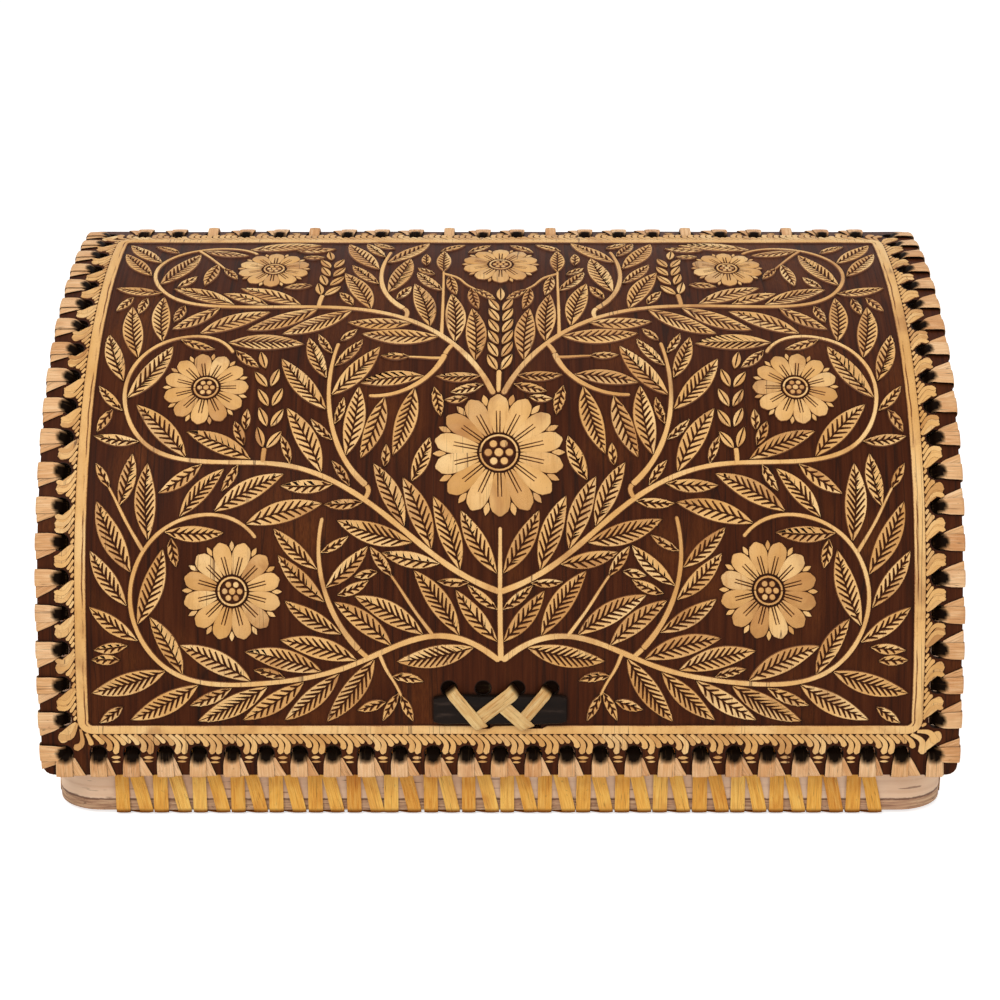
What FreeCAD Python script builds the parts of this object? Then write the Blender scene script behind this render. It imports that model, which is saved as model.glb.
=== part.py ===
import FreeCAD, Part
import math
import os

# Birch bark bread box: a low tray of bark on a board, with upright sides and back,
# closed by a quarter-round lid that turns about its laced rear edge.
# Millimetres and degrees. X runs along the width, -Y is the front and Z is up.
# The origin is the middle of the underside.

# Lid section, from its upright front edge to its level rear edge, on the outer face
front_radius = 260.0
front_turn = 17.0
shoulder_radius = 135.0
shoulder_turn = 46.0
top_radius = 190.0

# Lid
lid_width = 347.5
lid_bottom = 20.0
lid_sheet_thickness = 1.6
lid_lining_thickness = 1.3
lid_corner_radius = 4.0

# Box
side_overhang = 1.25
corner_radius = 19.0
front_wall_height = 55.0
wall_thickness = 1.6
wall_lining_thickness = 1.3
board_thickness = 4.5
underside_thickness = 1.5
underside_inset = 14.0
floor_lining_thickness = 1.5

# Fits
layer_gap = 0.1
seat_gap = 0.35
lace_clearance = 0.25
slot_clearance = 0.3

# Lacing: flat bast strips, each through a punched hole and round an edge
lace_width = 5.4
lace_thickness = 1.0
hole_diameter = 6.4
edge_margin = 8.7
lid_foot_width = 10.5
rim_foot_width = 9.0
front_pitch = 12.7
side_pitch = 13.6
rear_pitch = 14.2
base_pitch = 14.8
rim_pitch = 14.0
corner_pitch = 15.0
base_hole_height = 35.0
base_strip_gap = 0.5
front_run_gap = 5.5
corner_reach = 7.0
corner_start = 24.0
corner_end_drop = 14.0
run_end_gap = 12.0

# Hinge: round loops about an axis just under the rear edge
rear_overhang = 0.2
hinge_drop = 2.8
loop_slack = 0.8
loop_thickness = 0.9
loop_width = 4.5
loop_count = 6
hinge_hole_clearance = 0.3

# Handle: a strap held to the lid by a zigzag lace
strap_length = 50.0
strap_width = 11.0
strap_thickness = 2.6
strap_height = 26.7
strap_end_radius = 2.0
strap_edge_radius = 0.7
handle_lace_width = 5.2
handle_lace_thickness = 0.9
handle_hole_diameter = 5.6
handle_hole_spacing = 12.8
handle_hole_count = 4

# Raised layer: openwork bark on the lid's outer face, a frame round a field of ornament
raised_thickness = 0.6
frame_side_margin = 14.0
frame_front_margin = 16.7
frame_rear_margin = 16.8
frame_side_width = 4.3
frame_front_width = 3.4
frame_rear_width = 4.2
frame_corner_radius = 5.6
frame_inner_radius = 2.0
field_gap = 1.2
handle_space = 4.0

# Ornament. Places are shares of the field: across from its middle line, and up from its front edge.
# Everything off the middle line is mirrored. Radii are shares of the ornament's reach.
ornament_gap = 0.7
flower_core = 0.3
flowers = (
    (0.0, 0.444, 0.161, 14),
    (0.0, 0.893, 0.1, 10),
    (0.65, 0.222, 0.119, 12),
    (0.727, 0.568, 0.106, 11),
    (0.592, 0.88, 0.093, 10),
)
stem_width = 2.2
stem_taper = 0.4
middle_stem = ((0.0, 0.107), (0.0, 0.214), (0.0, 0.32))
side_stems = (
    ((0.02, 0.115), (0.18, 0.145), (0.37, 0.098), (0.592, 0.072), (0.798, 0.094), (0.894, 0.205),
     (0.823, 0.316), (0.669, 0.341), (0.592, 0.307)),
    ((0.02, 0.222), (0.154, 0.273), (0.309, 0.359), (0.502, 0.423), (0.695, 0.431), (0.862, 0.461),
     (0.926, 0.564), (0.843, 0.662), (0.72, 0.675), (0.663, 0.641)),
    ((0.02, 0.564), (0.103, 0.649), (0.257, 0.726), (0.476, 0.756), (0.669, 0.756), (0.836, 0.782),
     (0.894, 0.863), (0.823, 0.948), (0.708, 0.965), (0.643, 0.94)),
    ((0.345, 0.125), (0.398, 0.175), (0.435, 0.25), (0.43, 0.34)),
    ((0.325, 0.392), (0.395, 0.458), (0.42, 0.55), (0.4, 0.66)),
    ((0.245, 0.748), (0.298, 0.8), (0.31, 0.87), (0.29, 0.95)),
    ((0.135, 0.635), (0.17, 0.592), (0.235, 0.56), (0.32, 0.55)),
)
grain_length = 9.0
grain_width = 3.1
grain_pitch = 7.2
grain_lean = 27.0
middle_ears = (((0.0, 0.6), (0.0, 0.69), (0.0, 0.77)),)
side_ears = (
    ((0.575, 0.455), (0.565, 0.53), (0.58, 0.605)),
    ((0.455, 0.79), (0.44, 0.85), (0.445, 0.915)),
)
leaf_spacing = 6.6
leaf_lengths = (34.0, 31.0, 28.0, 25.0, 22.0, 19.0, 16.0, 13.0)
leaf_slimness = 0.27
leaf_leans = (46.0, 37.0, 58.0, 30.0, 68.0)
leaf_bend = 14.0
leaf_root = 0.15
leaf_steps = 8

# Sizes that follow
quarter_turn = 90.0
halvings = 60
tiny = 0.001
lid_thickness = lid_sheet_thickness + layer_gap + lid_lining_thickness
wall_total = wall_thickness + layer_gap + wall_lining_thickness
lace_stand = lace_clearance + lace_thickness
rim_inset = lid_thickness + lace_stand + seat_gap + lace_stand
board_bottom = underside_thickness
board_top = board_bottom + board_thickness
box_half_width = lid_width / 2 - side_overhang
through = 2 * (lid_thickness + wall_total)

arcs = (
    (front_radius, 0.0, front_turn),
    (shoulder_radius, front_turn, front_turn + shoulder_turn),
    (top_radius, front_turn + shoulder_turn, quarter_turn),
)


def outer_offset(turn):
    """How far back and up the outer face has come where its tangent has turned by turn."""
    back = 0.0
    up = 0.0
    for radius, start, end in arcs:
        reached = min(max(turn, start), end)
        first = math.radians(start)
        last = math.radians(reached)
        back += radius * (math.cos(first) - math.cos(last))
        up += radius * (math.sin(last) - math.sin(first))
    return back, up


def inset_offset(turn, inset):
    """The same, for a face that lies inset inside the outer one."""
    back, up = outer_offset(turn)
    angle = math.radians(turn)
    return back + inset * math.cos(angle), up - inset * math.sin(angle)


def solve(rising, target, high):
    """Where a rising function of one number, from 0 to high, reaches the target."""
    low = 0.0
    for _ in range(halvings):
        middle = (low + high) / 2
        if rising(middle) < target:
            low = middle
        else:
            high = middle
    return low


def turn_at_height(up, inset):
    """The turn at which an inset face is up above the lid's bottom edge."""
    return solve(lambda turn: inset_offset(turn, inset)[1], up, quarter_turn)


def turn_at_length(length):
    """The turn reached after a length along the outer face."""
    for radius, start, end in arcs:
        arc_length = radius * math.radians(end - start)
        if length <= arc_length:
            return start + math.degrees(length / radius)
        length -= arc_length
    return quarter_turn


section_length = sum(radius * math.radians(end - start) for radius, start, end in arcs)
field_half = lid_width / 2 - frame_side_margin - frame_side_width
field_low = frame_front_margin + frame_front_width
field_high = section_length - frame_rear_margin - frame_rear_width
ornament_reach = min(field_half, (field_high - field_low) * 2 / 3)
lid_depth, lid_height = outer_offset(quarter_turn)
front_setback = inset_offset(turn_at_height(front_wall_height - lid_bottom, rim_inset), rim_inset)[0]
box_depth = lid_depth - front_setback - rear_overhang
box_front = -box_depth / 2
box_back = box_depth / 2
lid_front = box_front - front_setback
lid_top = lid_bottom + lid_height
hinge_height = lid_top - lid_thickness - hinge_drop
back_inner = box_back - wall_total
loop_inner = math.hypot(rear_overhang, hinge_drop + lid_thickness) + loop_slack
loop_outer = loop_inner + loop_thickness


def section_point(turn, inset):
    """A point of the lid's section as (y, z)."""
    back, up = inset_offset(turn, inset)
    return lid_front + back, lid_bottom + up


def section_edges(inset, first_turn=0.0, last_turn=quarter_turn):
    """The tangent arcs of the section at an inset, between two turns of it."""
    edges = []
    for _, start, end in arcs:
        low = max(start, first_turn)
        high = min(end, last_turn)
        if high > low:
            points = []
            for turn in (low, (low + high) / 2, high):
                points.append(FreeCAD.Vector(0, *section_point(turn, inset)))
            edges.append(Part.Arc(*points).toShape())
    return edges


def line(first, last):
    return Part.LineSegment(first, last).toShape()


def extrude_x(edges, half_width):
    """A solid from a closed YZ outline, centred on x = 0."""
    face = Part.Face(Part.Wire(Part.__sortEdges__(edges)))
    solid = face.extrude(FreeCAD.Vector(2 * half_width, 0, 0))
    solid.translate(FreeCAD.Vector(-half_width, 0, 0))
    return solid


def curved_sheet(outer_inset, inner_inset, half_width, start=0.0, end=section_length,
                 radius=lid_corner_radius):
    """A sheet between two insets and two lengths of the lid's section, with round corners."""
    turns = (turn_at_length(start), turn_at_length(end))
    outer = section_edges(outer_inset, *turns)
    inner = section_edges(inner_inset, *turns)
    ends = []
    for turn in turns:
        points = [FreeCAD.Vector(0, *section_point(turn, inset)) for inset in (outer_inset, inner_inset)]
        ends.append(line(*points))
    sheet = extrude_x(outer + inner + ends, half_width)
    corners = []
    for edge in sheet.Edges:
        at_side = abs(abs(edge.CenterOfMass.x) - half_width) < tiny
        if at_side and abs(edge.Length - inner_inset + outer_inset) < tiny:
            corners.append(edge)
    return sheet.makeFillet(radius, corners)


def space_under(inset, half_width):
    """All that lies under the section at an inset, down to the top of the board."""
    start = FreeCAD.Vector(0, *section_point(0.0, inset))
    end = FreeCAD.Vector(0, *section_point(quarter_turn, inset))
    low_front = FreeCAD.Vector(0, start.y, board_top)
    high_rear = FreeCAD.Vector(0, box_back, end.z)
    low_rear = FreeCAD.Vector(0, box_back, board_top)
    edges = section_edges(inset)
    corners = [start, low_front, low_rear, high_rear, end]
    for first, last in zip(corners, corners[1:]):
        if (last - first).Length > tiny:
            edges.append(line(first, last))
    return extrude_x(edges, half_width)


def upright_edges(solid):
    return [edge for edge in solid.Edges if abs(edge.Vertexes[0].Z - edge.Vertexes[1].Z) > tiny]


def block(low, high):
    size = [b - a for a, b in zip(low, high)]
    return Part.makeBox(*size, FreeCAD.Vector(*low))


def tray(inset, rear, bottom, top):
    """A block with the box's outline in plan: round front corners, square at the rear."""
    half = box_half_width - inset
    radius = corner_radius - inset
    solid = block((-half, box_front + inset, bottom), (half, rear, top))
    corners = [edge for edge in upright_edges(solid) if edge.CenterOfMass.y < 0]
    return solid.makeFillet(radius, corners)


def prism(points, low, high):
    """A polygon in the local u, v plane, between two levels of w."""
    corners = [FreeCAD.Vector(u, v, low) for u, v in points]
    wire = Part.makePolygon(corners + corners[:1])
    return Part.Face(wire).extrude(FreeCAD.Vector(0, 0, high - low))


def placed(shape, origin, u, v):
    """Moves a shape from its local u, v, w frame to origin, with w square to u and v."""
    w = u.cross(v)
    matrix = FreeCAD.Matrix(
        u.x, v.x, w.x, origin.x,
        u.y, v.y, w.y, origin.y,
        u.z, v.z, w.z, origin.z,
        0, 0, 0, 1)
    moved = shape.copy()
    moved.Placement = FreeCAD.Placement(matrix).multiply(shape.Placement)
    return moved


def edge_stitch(sheet_thickness, foot_width):
    """A strip through a hole and round the edge. Hole at the origin, edge towards +v, face at w = 0."""
    hole_half = lace_width / 2
    foot_half = foot_width / 2
    start = -lace_thickness / 2
    end = edge_margin + lace_stand
    plan = [(-hole_half, start), (hole_half, start), (foot_half, end), (-foot_half, end)]
    solid = prism(plan, -sheet_thickness - lace_stand, lace_stand)
    inside = block(
        (-foot_width, start + lace_thickness, -sheet_thickness - lace_clearance),
        (foot_width, end - lace_thickness, lace_clearance))
    return solid.cut(inside)


def punched_hole(sheet_thickness, diameter):
    """The hole that a stitch goes through, in the stitch's own frame."""
    return Part.makeCylinder(
        diameter / 2, sheet_thickness + through,
        FreeCAD.Vector(0, 0, -sheet_thickness - through / 2), FreeCAD.Vector(0, 0, 1))


def spread(start, end, pitch):
    """Evenly spaced places from start to end, about a pitch apart."""
    steps = max(1, round((end - start) / pitch))
    return [start + (end - start) * step / steps for step in range(steps + 1)]


def section_frame(turn, inset):
    """Position, along-the-section and outward directions at a turn of the section."""
    y, z = section_point(turn, inset)
    angle = math.radians(turn)
    along = FreeCAD.Vector(0, math.sin(angle), math.cos(angle))
    outward = FreeCAD.Vector(0, -math.cos(angle), math.sin(angle))
    return FreeCAD.Vector(0, y, z), along, outward


def lid_frames():
    """The origin, u and v of every stitch of the lid, by run."""
    side_hole = lid_width / 2 - edge_margin
    right = FreeCAD.Vector(1, 0, 0)
    frames = {"front": [], "rear": [], "left": [], "right": []}

    base, along, _ = section_frame(turn_at_length(edge_margin), 0.0)
    for x in spread(-side_hole, side_hole, front_pitch)[1:-1]:
        frames["front"].append((base + right * x, -right, -along))

    base, along, _ = section_frame(turn_at_length(section_length - edge_margin), 0.0)
    for x in spread(-side_hole, side_hole, rear_pitch)[1:-1]:
        frames["rear"].append((base + right * x, right, along))

    for length in spread(edge_margin, section_length - edge_margin, side_pitch):
        base, along, _ = section_frame(turn_at_length(length), 0.0)
        frames["left"].append((base - right * side_hole, along, -right))
        frames["right"].append((base + right * side_hole, -along, right))
    return frames


def hinge_places(rear_frames):
    """The places of the rear run that hold a hinge loop in place of a stitch."""
    last = len(rear_frames) - 1
    return sorted({round(last * (index + 0.5) / loop_count) for index in range(loop_count)})


def hinge_hole(near_face, far_face):
    """Centre, from the axis, and radius of the hole that lets a loop through a sheet.

    The sheet's faces lie near_face and far_face away from the axis."""
    low = math.sqrt(loop_inner ** 2 - far_face ** 2)
    high = math.sqrt(loop_outer ** 2 - near_face ** 2)
    radius = math.hypot((high - low) / 2, loop_width / 2) + hinge_hole_clearance
    return (low + high) / 2, radius


def hinge_hole_cuts(xs, centre_y, centre_z, radius, direction):
    cuts = []
    for x in xs:
        start = FreeCAD.Vector(x, centre_y, centre_z) - direction * through / 2
        cuts.append(Part.makeCylinder(radius, through, start, direction))
    return cuts


def handle_frame():
    base, along, _ = section_frame(turn_at_length(strap_height), 0.0)
    return base, FreeCAD.Vector(-1, 0, 0), -along


def handle_points():
    """Places of the handle's round holes above the strap and slots at its lower edge, in its frame."""
    above = strap_width / 2 + handle_hole_diameter / 2
    below = strap_width / 2 + layer_gap + handle_lace_thickness
    middle = (handle_hole_count - 1) / 2
    upper = [((middle - index) * handle_hole_spacing, -above) for index in range(handle_hole_count)]
    lower = [(handle_hole_spacing / 2, below), (-handle_hole_spacing, below)]
    return upper, lower


def handle_cuts():
    """The round holes and slots that the handle's lace goes through."""
    upper, lower = handle_points()
    cuts = []
    for u, v in upper:
        hole = punched_hole(lid_thickness, handle_hole_diameter)
        hole.translate(FreeCAD.Vector(u, v, 0))
        cuts.append(hole)
    half_width = handle_lace_width / 2 + layer_gap
    half_depth = handle_lace_thickness + 2 * layer_gap
    for u, v in lower:
        low = (u - half_width, v - half_depth, -through)
        high = (u + half_width, v + half_depth, through)
        cuts.append(block(low, high))
    return [placed(cut, *handle_frame()) for cut in cuts]


def handle_strap():
    half_length = strap_length / 2
    half_width = strap_width / 2
    top = lace_clearance + strap_thickness
    solid = block((-half_length, -half_width, lace_clearance), (half_length, half_width, top))
    solid = solid.makeFillet(strap_end_radius, upright_edges(solid))
    top_edges = [edge for edge in solid.Edges if edge.CenterOfMass.z > top - tiny]
    return solid.makeFillet(strap_edge_radius, top_edges)


def slanted_bar(first, last, width, low, high):
    """A flat bar between two points of the u, v plane."""
    dx = last[0] - first[0]
    dy = last[1] - first[1]
    length = math.hypot(dx, dy)
    side = (-dy / length * width / 2, dx / length * width / 2)
    points = [
        (first[0] + side[0], first[1] + side[1]), (last[0] + side[0], last[1] + side[1]),
        (last[0] - side[0], last[1] - side[1]), (first[0] - side[0], first[1] - side[1])]
    return prism(points, low, high)


def handle_lace():
    """A zigzag over the strap, down through the lid at each turn, and joined behind it."""
    upper, lower = handle_points()
    turns = [upper[0], lower[0], upper[2], lower[1], upper[3]]
    low = lace_clearance + strap_thickness + lace_clearance
    high = low + handle_lace_thickness
    behind = -lid_thickness - lace_clearance
    solids = []
    for first, last in zip(turns, turns[1:]):
        solids.append(slanted_bar(first, last, handle_lace_width, low, high))
    leg_half = handle_lace_width / 2 - layer_gap
    thick_half = handle_lace_thickness
    for u, v in turns:
        solids.append(block(
            (u - leg_half, v - thick_half, behind - handle_lace_thickness),
            (u + leg_half, v + thick_half, high)))
    for row in (upper, lower):
        first = row[0]
        last = row[-1]
        solids.append(slanted_bar(first, last, 2 * thick_half, behind - handle_lace_thickness, behind))
    return solids[0].fuse(solids[1:]).removeSplitter()


def field_point(across, up):
    """A place on the lid as (x, s): x from its middle, s along the section from its front edge."""
    return across * field_half, field_low + up * (field_high - field_low)


def heading_point(point, angle, reach, aside=0.0):
    """The point reach ahead of another at an angle, and aside to the left of it."""
    x = point[0] + reach * math.cos(angle) - aside * math.sin(angle)
    return x, point[1] + reach * math.sin(angle) + aside * math.cos(angle)


def smooth_path(points, spacing):
    """Evenly spaced (x, s, angle) along a smooth curve through the points."""
    curve = Part.BSplineCurve()
    curve.interpolate([FreeCAD.Vector(x, s, 0) for x, s in points])
    steps = 2 * max(1, round(curve.length() / spacing / 2))
    path = []
    for at in curve.discretize(steps + 1):
        way = curve.tangent(curve.parameter(at))[0]
        path.append((at.x, at.y, math.atan2(way.y, way.x)))
    return path


def leaf_axis(base, angle, length, bend):
    """Points of a leaf's axis, from its root to its tip, that turns by bend on the way."""
    points = [base]
    for step in range(leaf_steps):
        turned = angle + bend * (step + 0.5) / leaf_steps
        points.append(heading_point(points[-1], turned, length / leaf_steps))
    return points


def is_clear(discs, placed):
    """Whether discs (x, s, radius) keep their gap to all placed ones, the frame and the handle."""
    handle_half = strap_length / 2 + handle_space
    handle_top = strap_height + strap_width / 2 + handle_hole_diameter + handle_space
    for x, s, radius in discs:
        reach = radius + field_gap
        if x < radius + ornament_gap / 2 or x > field_half - reach:
            return False
        if s < field_low + reach or s > field_high - reach:
            return False
        if x < handle_half and s < handle_top + radius:
            return False
        for other_x, other_s, other_radius in placed:
            if math.hypot(x - other_x, s - other_s) < radius + other_radius + ornament_gap:
                return False
    return True


def leaf_outline(base, angle, length, bend):
    """Two arcs from the root of a leaf round its widest places to its tip."""
    axis = leaf_axis(base, angle, length, bend)
    middle_angle = angle + bend / 2
    half = length * leaf_slimness / 2
    left = heading_point(axis[leaf_steps // 2], middle_angle, 0.0, half)
    right = heading_point(axis[leaf_steps // 2], middle_angle, 0.0, -half)
    return [(axis[0], right, axis[-1]), (axis[-1], left, axis[0])]


def leaf_discs(base, angle, length, bend):
    """Discs that fill a leaf, for finding room for it."""
    discs = []
    for step, (x, s) in enumerate(leaf_axis(base, angle, length, bend)):
        share = step / leaf_steps
        discs.append((x, s, length * leaf_slimness / 2 * 4 * share * (1 - share)))
    return discs[1:]


def stem_leaves(path, placed):
    """Leaves by turns on the two sides of a stem, each the longest that has room."""
    found = []
    side = 1
    for x, s, heading in path[1:]:
        side = -side
        for length, lean in [(length, lean) for length in leaf_lengths for lean in leaf_leans]:
            angle = heading + side * math.radians(lean)
            out = (stem_width / 2 + ornament_gap) / math.sin(math.radians(lean))
            base = heading_point((x, s), angle, out)
            leaf = (base, angle, length * (1 - leaf_root), -side * math.radians(leaf_bend))
            discs = leaf_discs(*leaf)
            if is_clear(discs, placed):
                placed += discs
                found.append(leaf_outline(*leaf))
                break
    return found


def flower_outlines(centre, radius, petals):
    """A round core and the petals round it."""
    core = radius * flower_core
    ring = [heading_point(centre, quarter * math.pi / 2, core) for quarter in range(4)]
    outlines = [[(ring[0], ring[1], ring[2]), (ring[2], ring[3], ring[0])]]
    turn = 2 * math.pi / petals
    inner = core + ornament_gap
    shoulder = radius - radius * math.sin(turn / 2)
    inner_half = inner * math.sin(turn / 2) - ornament_gap / 2
    outer_half = shoulder * math.sin(turn / 2) - ornament_gap / 2
    for index in range(petals):
        angle = (index + 0.5) * turn
        low = [heading_point(centre, angle, inner, aside) for aside in (-inner_half, inner_half)]
        high = [heading_point(centre, angle, shoulder, aside) for aside in (-outer_half, outer_half)]
        tip = heading_point(centre, angle, radius)
        outlines.append([(low[0], high[0]), (high[0], tip, high[1]), (high[1], low[1]), (low[1], low[0])])
    return outlines


def stem_outline(path):
    """A stem's two sides and ends, narrowing a little to its tip."""
    sides = []
    for sign in (-1, 1):
        points = []
        for step, (x, s, angle) in enumerate(path):
            half = stem_width / 2 * (1 - stem_taper * step / (len(path) - 1))
            points.append(heading_point((x, s), angle, 0.0, sign * half))
        sides.append(points)
    right, left = sides
    ends = [(right[-1], left[-1])], [(left[0], right[0])]
    return arcs_through(right) + ends[0] + arcs_through(left[::-1]) + ends[1]


def arcs_through(points):
    """Arcs through an odd number of points, each from one to the next but one."""
    return [tuple(points[first:first + 3]) for first in range(0, len(points) - 2, 2)]


def ear_outlines(path):
    """Pairs of grains along a line, and one at its tip."""
    outlines = []
    for x, s, heading in path[:-1]:
        for side in (-1, 1):
            angle = heading + side * math.radians(grain_lean)
            base = heading_point((x, s), heading, 0.0, side * ornament_gap)
            outlines.append(grain_outline(base, angle))
    x, s, heading = path[-1]
    outlines.append(grain_outline((x, s), heading))
    return outlines


def grain_outline(base, angle):
    tip = heading_point(base, angle, grain_length)
    right, left = [heading_point(base, angle, grain_length / 2, side * grain_width / 2) for side in (-1, 1)]
    return [(base, right, tip), (tip, left, base)]


def curve_edge(points):
    """A line between the first and last of two or three points, or an arc where three aren't in line."""
    first = points[0]
    last = points[-1]
    bulge = (points[1] - first).cross(last - first).Length / (last - first).Length
    return line(first, last) if bulge < tiny else Part.Arc(*points).toShape()


def raised_plate(outline, layer):
    """The piece of the raised layer inside an outline in x and s, square to its middle."""
    lengths = [s for points in outline for _, s in points]
    middle = (min(lengths) + max(lengths)) / 2
    base, _, outward = section_frame(turn_at_length(middle), 0.0)
    reach = shoulder_radius / 4
    edges = []
    for points in outline:
        corners = []
        for x, s in points:
            corner = FreeCAD.Vector(x, *section_point(turn_at_length(s), -layer_gap))
            corners.append(corner - outward * ((corner - base).dot(outward) + reach))
        edges.append(curve_edge(corners))
    prism = Part.Face(Part.Wire(edges)).extrude(outward * 2 * reach)
    return prism.common(layer)


def raised_pieces(outlines, layer, mirrored):
    pieces = []
    for outline in outlines:
        piece = raised_plate(outline, layer)
        pieces.append(piece)
        if mirrored:
            pieces.append(mirrored_x(piece))
    return pieces


def raised_frame():
    """The frame round the field, notched where the handle's lace goes down beside it."""
    inside = -layer_gap
    outside = inside - raised_thickness
    outer = curved_sheet(
        outside, inside, field_half + frame_side_width,
        frame_front_margin, section_length - frame_rear_margin, frame_corner_radius)
    inner = curved_sheet(
        outside - raised_thickness, inside + raised_thickness, field_half,
        field_low, field_high, frame_inner_radius)
    return outer.cut([inner] + handle_cuts())


def make_ornament():
    """The raised stems, flowers, ears and leaves of the field."""
    layer = curved_sheet(-layer_gap - raised_thickness, -layer_gap, field_half, field_low, field_high)
    groups = {"stems": ([], []), "flowers": ([], []), "leaves": ([], [])}
    placed = []
    for across, up, share, petals in flowers:
        centre = field_point(across, up)
        radius = share * ornament_reach
        groups["flowers"][across > 0].extend(flower_outlines(centre, radius, petals))
        placed.append((*centre, radius + ornament_gap))
    paths = []
    for points in (middle_stem, *side_stems):
        path = smooth_path([field_point(*point) for point in points], leaf_spacing)
        paths.append(path)
        groups["stems"][points is not middle_stem].append(stem_outline(path))
        finer = smooth_path([field_point(*point) for point in points], stem_width)
        placed += [(x, s, stem_width / 2) for x, s, _ in finer]
    for ears, off_middle in ((middle_ears, False), (side_ears, True)):
        for points in ears:
            path = smooth_path([field_point(*point) for point in points], grain_pitch)
            groups["flowers"][off_middle].extend(ear_outlines(path))
            placed += [(x, s, grain_length / 2) for x, s, _ in path]
            tip_x, tip_s, heading = path[-1]
            placed.append((*heading_point((tip_x, tip_s), heading, grain_length / 2), grain_length / 2))
    for path in paths[1:] + paths[:1]:
        groups["leaves"][True].extend(stem_leaves(path, placed))
    shapes = {}
    for name, (middle, sides) in groups.items():
        pieces = raised_pieces(middle, layer, False) + raised_pieces(sides, layer, True)
        shapes[name] = Part.makeCompound([solid for piece in pieces for solid in piece.Solids])
    return shapes


def make_lid():
    frames = lid_frames()
    hinged = hinge_places(frames["rear"])
    loop_xs = [frames["rear"][place][0].x for place in hinged]
    frames["rear"] = [frame for place, frame in enumerate(frames["rear"]) if place not in hinged]

    holes = []
    for run in frames.values():
        for origin, u, v in run:
            holes.append(placed(punched_hole(lid_thickness, hole_diameter), origin, u, v))
    reach, radius = hinge_hole(hinge_drop, hinge_drop + lid_thickness)
    up = FreeCAD.Vector(0, 0, 1)
    holes += hinge_hole_cuts(loop_xs, box_back - reach, lid_top - lid_thickness / 2, radius, up)
    holes += handle_cuts()

    parts = {}
    half = lid_width / 2
    inner = lid_sheet_thickness + layer_gap
    parts["lid_sheet"] = curved_sheet(0.0, lid_sheet_thickness, half).cut(holes)
    parts["lid_lining"] = curved_sheet(inner, lid_thickness, half).cut(holes)
    stitch = edge_stitch(lid_thickness, lid_foot_width)
    for run, places in frames.items():
        parts["lid_lacing_" + run] = Part.makeCompound([placed(stitch, *place) for place in places])
    parts["handle_strap"] = placed(handle_strap(), *handle_frame())
    parts["handle_lace"] = placed(handle_lace(), *handle_frame())
    parts["openwork_frame"] = raised_frame()
    for name, shape in make_ornament().items():
        parts["openwork_" + name] = shape
    return parts, loop_xs


def base_stitch(foot_reach):
    """A strip from a wall hole, down and under the board, and up inside through the board.

    Its outer face widens towards -u, down to the foot."""
    hole_half = lace_width / 2
    reach = base_hole_height - board_bottom
    start = -lace_thickness / 2
    end = reach + lace_stand
    outer_low = lace_clearance
    outer_high = lace_stand
    inner_low = -wall_total - lace_stand
    face = prism(
        [(-hole_half, start), (hole_half, start), (hole_half, end), (-foot_reach, end)],
        outer_low, outer_high)
    leg = block((-hole_half, start, inner_low), (hole_half, end, inner_low + lace_thickness))
    bridge = block((-hole_half, start, inner_low), (hole_half, start + lace_thickness, outer_high))
    foot_plan = [
        FreeCAD.Vector(-hole_half, end - lace_thickness, inner_low),
        FreeCAD.Vector(hole_half, end - lace_thickness, inner_low),
        FreeCAD.Vector(hole_half, end - lace_thickness, outer_high),
        FreeCAD.Vector(-foot_reach, end - lace_thickness, outer_high)]
    foot_face = Part.Face(Part.makePolygon(foot_plan + foot_plan[:1]))
    foot = foot_face.extrude(FreeCAD.Vector(0, lace_thickness, 0))
    return face.fuse([leg, bridge, foot]).removeSplitter()


def board_slot():
    """The slot in the board that a base strip's inner leg goes through."""
    half = lace_width / 2 + slot_clearance
    reach = base_hole_height - board_bottom
    return block(
        (-half, reach - board_thickness - through / 2, -wall_total - lace_stand - slot_clearance),
        (half, reach + through / 2, -wall_total))


def base_frames():
    """The origin, u and v of every strip of the base, by run, each with its face outward."""
    front_half = box_half_width - corner_radius - front_run_gap
    rear_half = box_half_width - run_end_gap
    side_start = box_front + corner_radius
    side_end = box_back - run_end_gap
    z = base_hole_height
    frames = {"front": [], "back": [], "left": [], "right": []}
    for x in strip_places(-front_half, front_half):
        frames["front"].append(base_frame((x, box_front, z), (-1, 0, 0)))
    for x in strip_places(-rear_half, rear_half):
        frames["back"].append(base_frame((-x, box_back, z), (1, 0, 0)))
    for y in strip_places(side_start, side_end):
        frames["right"].append(base_frame((box_half_width, y, z), (0, -1, 0)))
        frames["left"].append(base_frame((-box_half_width, side_start + side_end - y, z), (0, 1, 0)))
    return frames


def strip_places(start, end):
    """Hole centres of a base run whose first strip starts at start and whose last foot is at end."""
    return [place + lace_width / 2 for place in spread(start, end, base_pitch)[:-1]]


def base_frame(origin, u):
    return FreeCAD.Vector(*origin), FreeCAD.Vector(*u), FreeCAD.Vector(0, 0, -1)


def run_pitch(places):
    return (places[1][0] - places[0][0]).Length


def rim_frames():
    """The origin, u and v of every stitch on the rim of the front and side walls."""
    up = FreeCAD.Vector(0, 0, 1)
    half = box_half_width - corner_radius - lace_width
    frames = {"front": [], "left": [], "right": []}
    for x in spread(-half, half, rim_pitch):
        origin = FreeCAD.Vector(x, box_front, front_wall_height - edge_margin)
        frames["front"].append((origin, FreeCAD.Vector(1, 0, 0), up))
    start = rim_start()
    end = section_length - run_end_gap - lid_foot_width
    for length in spread(start, end, rim_pitch):
        base, along, outward = section_frame(turn_at_length(length), rim_inset + edge_margin)
        side = FreeCAD.Vector(box_half_width, 0, 0)
        frames["right"].append((base + side, along, outward))
        frames["left"].append((base - side, -along, outward))
    return frames


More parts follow.
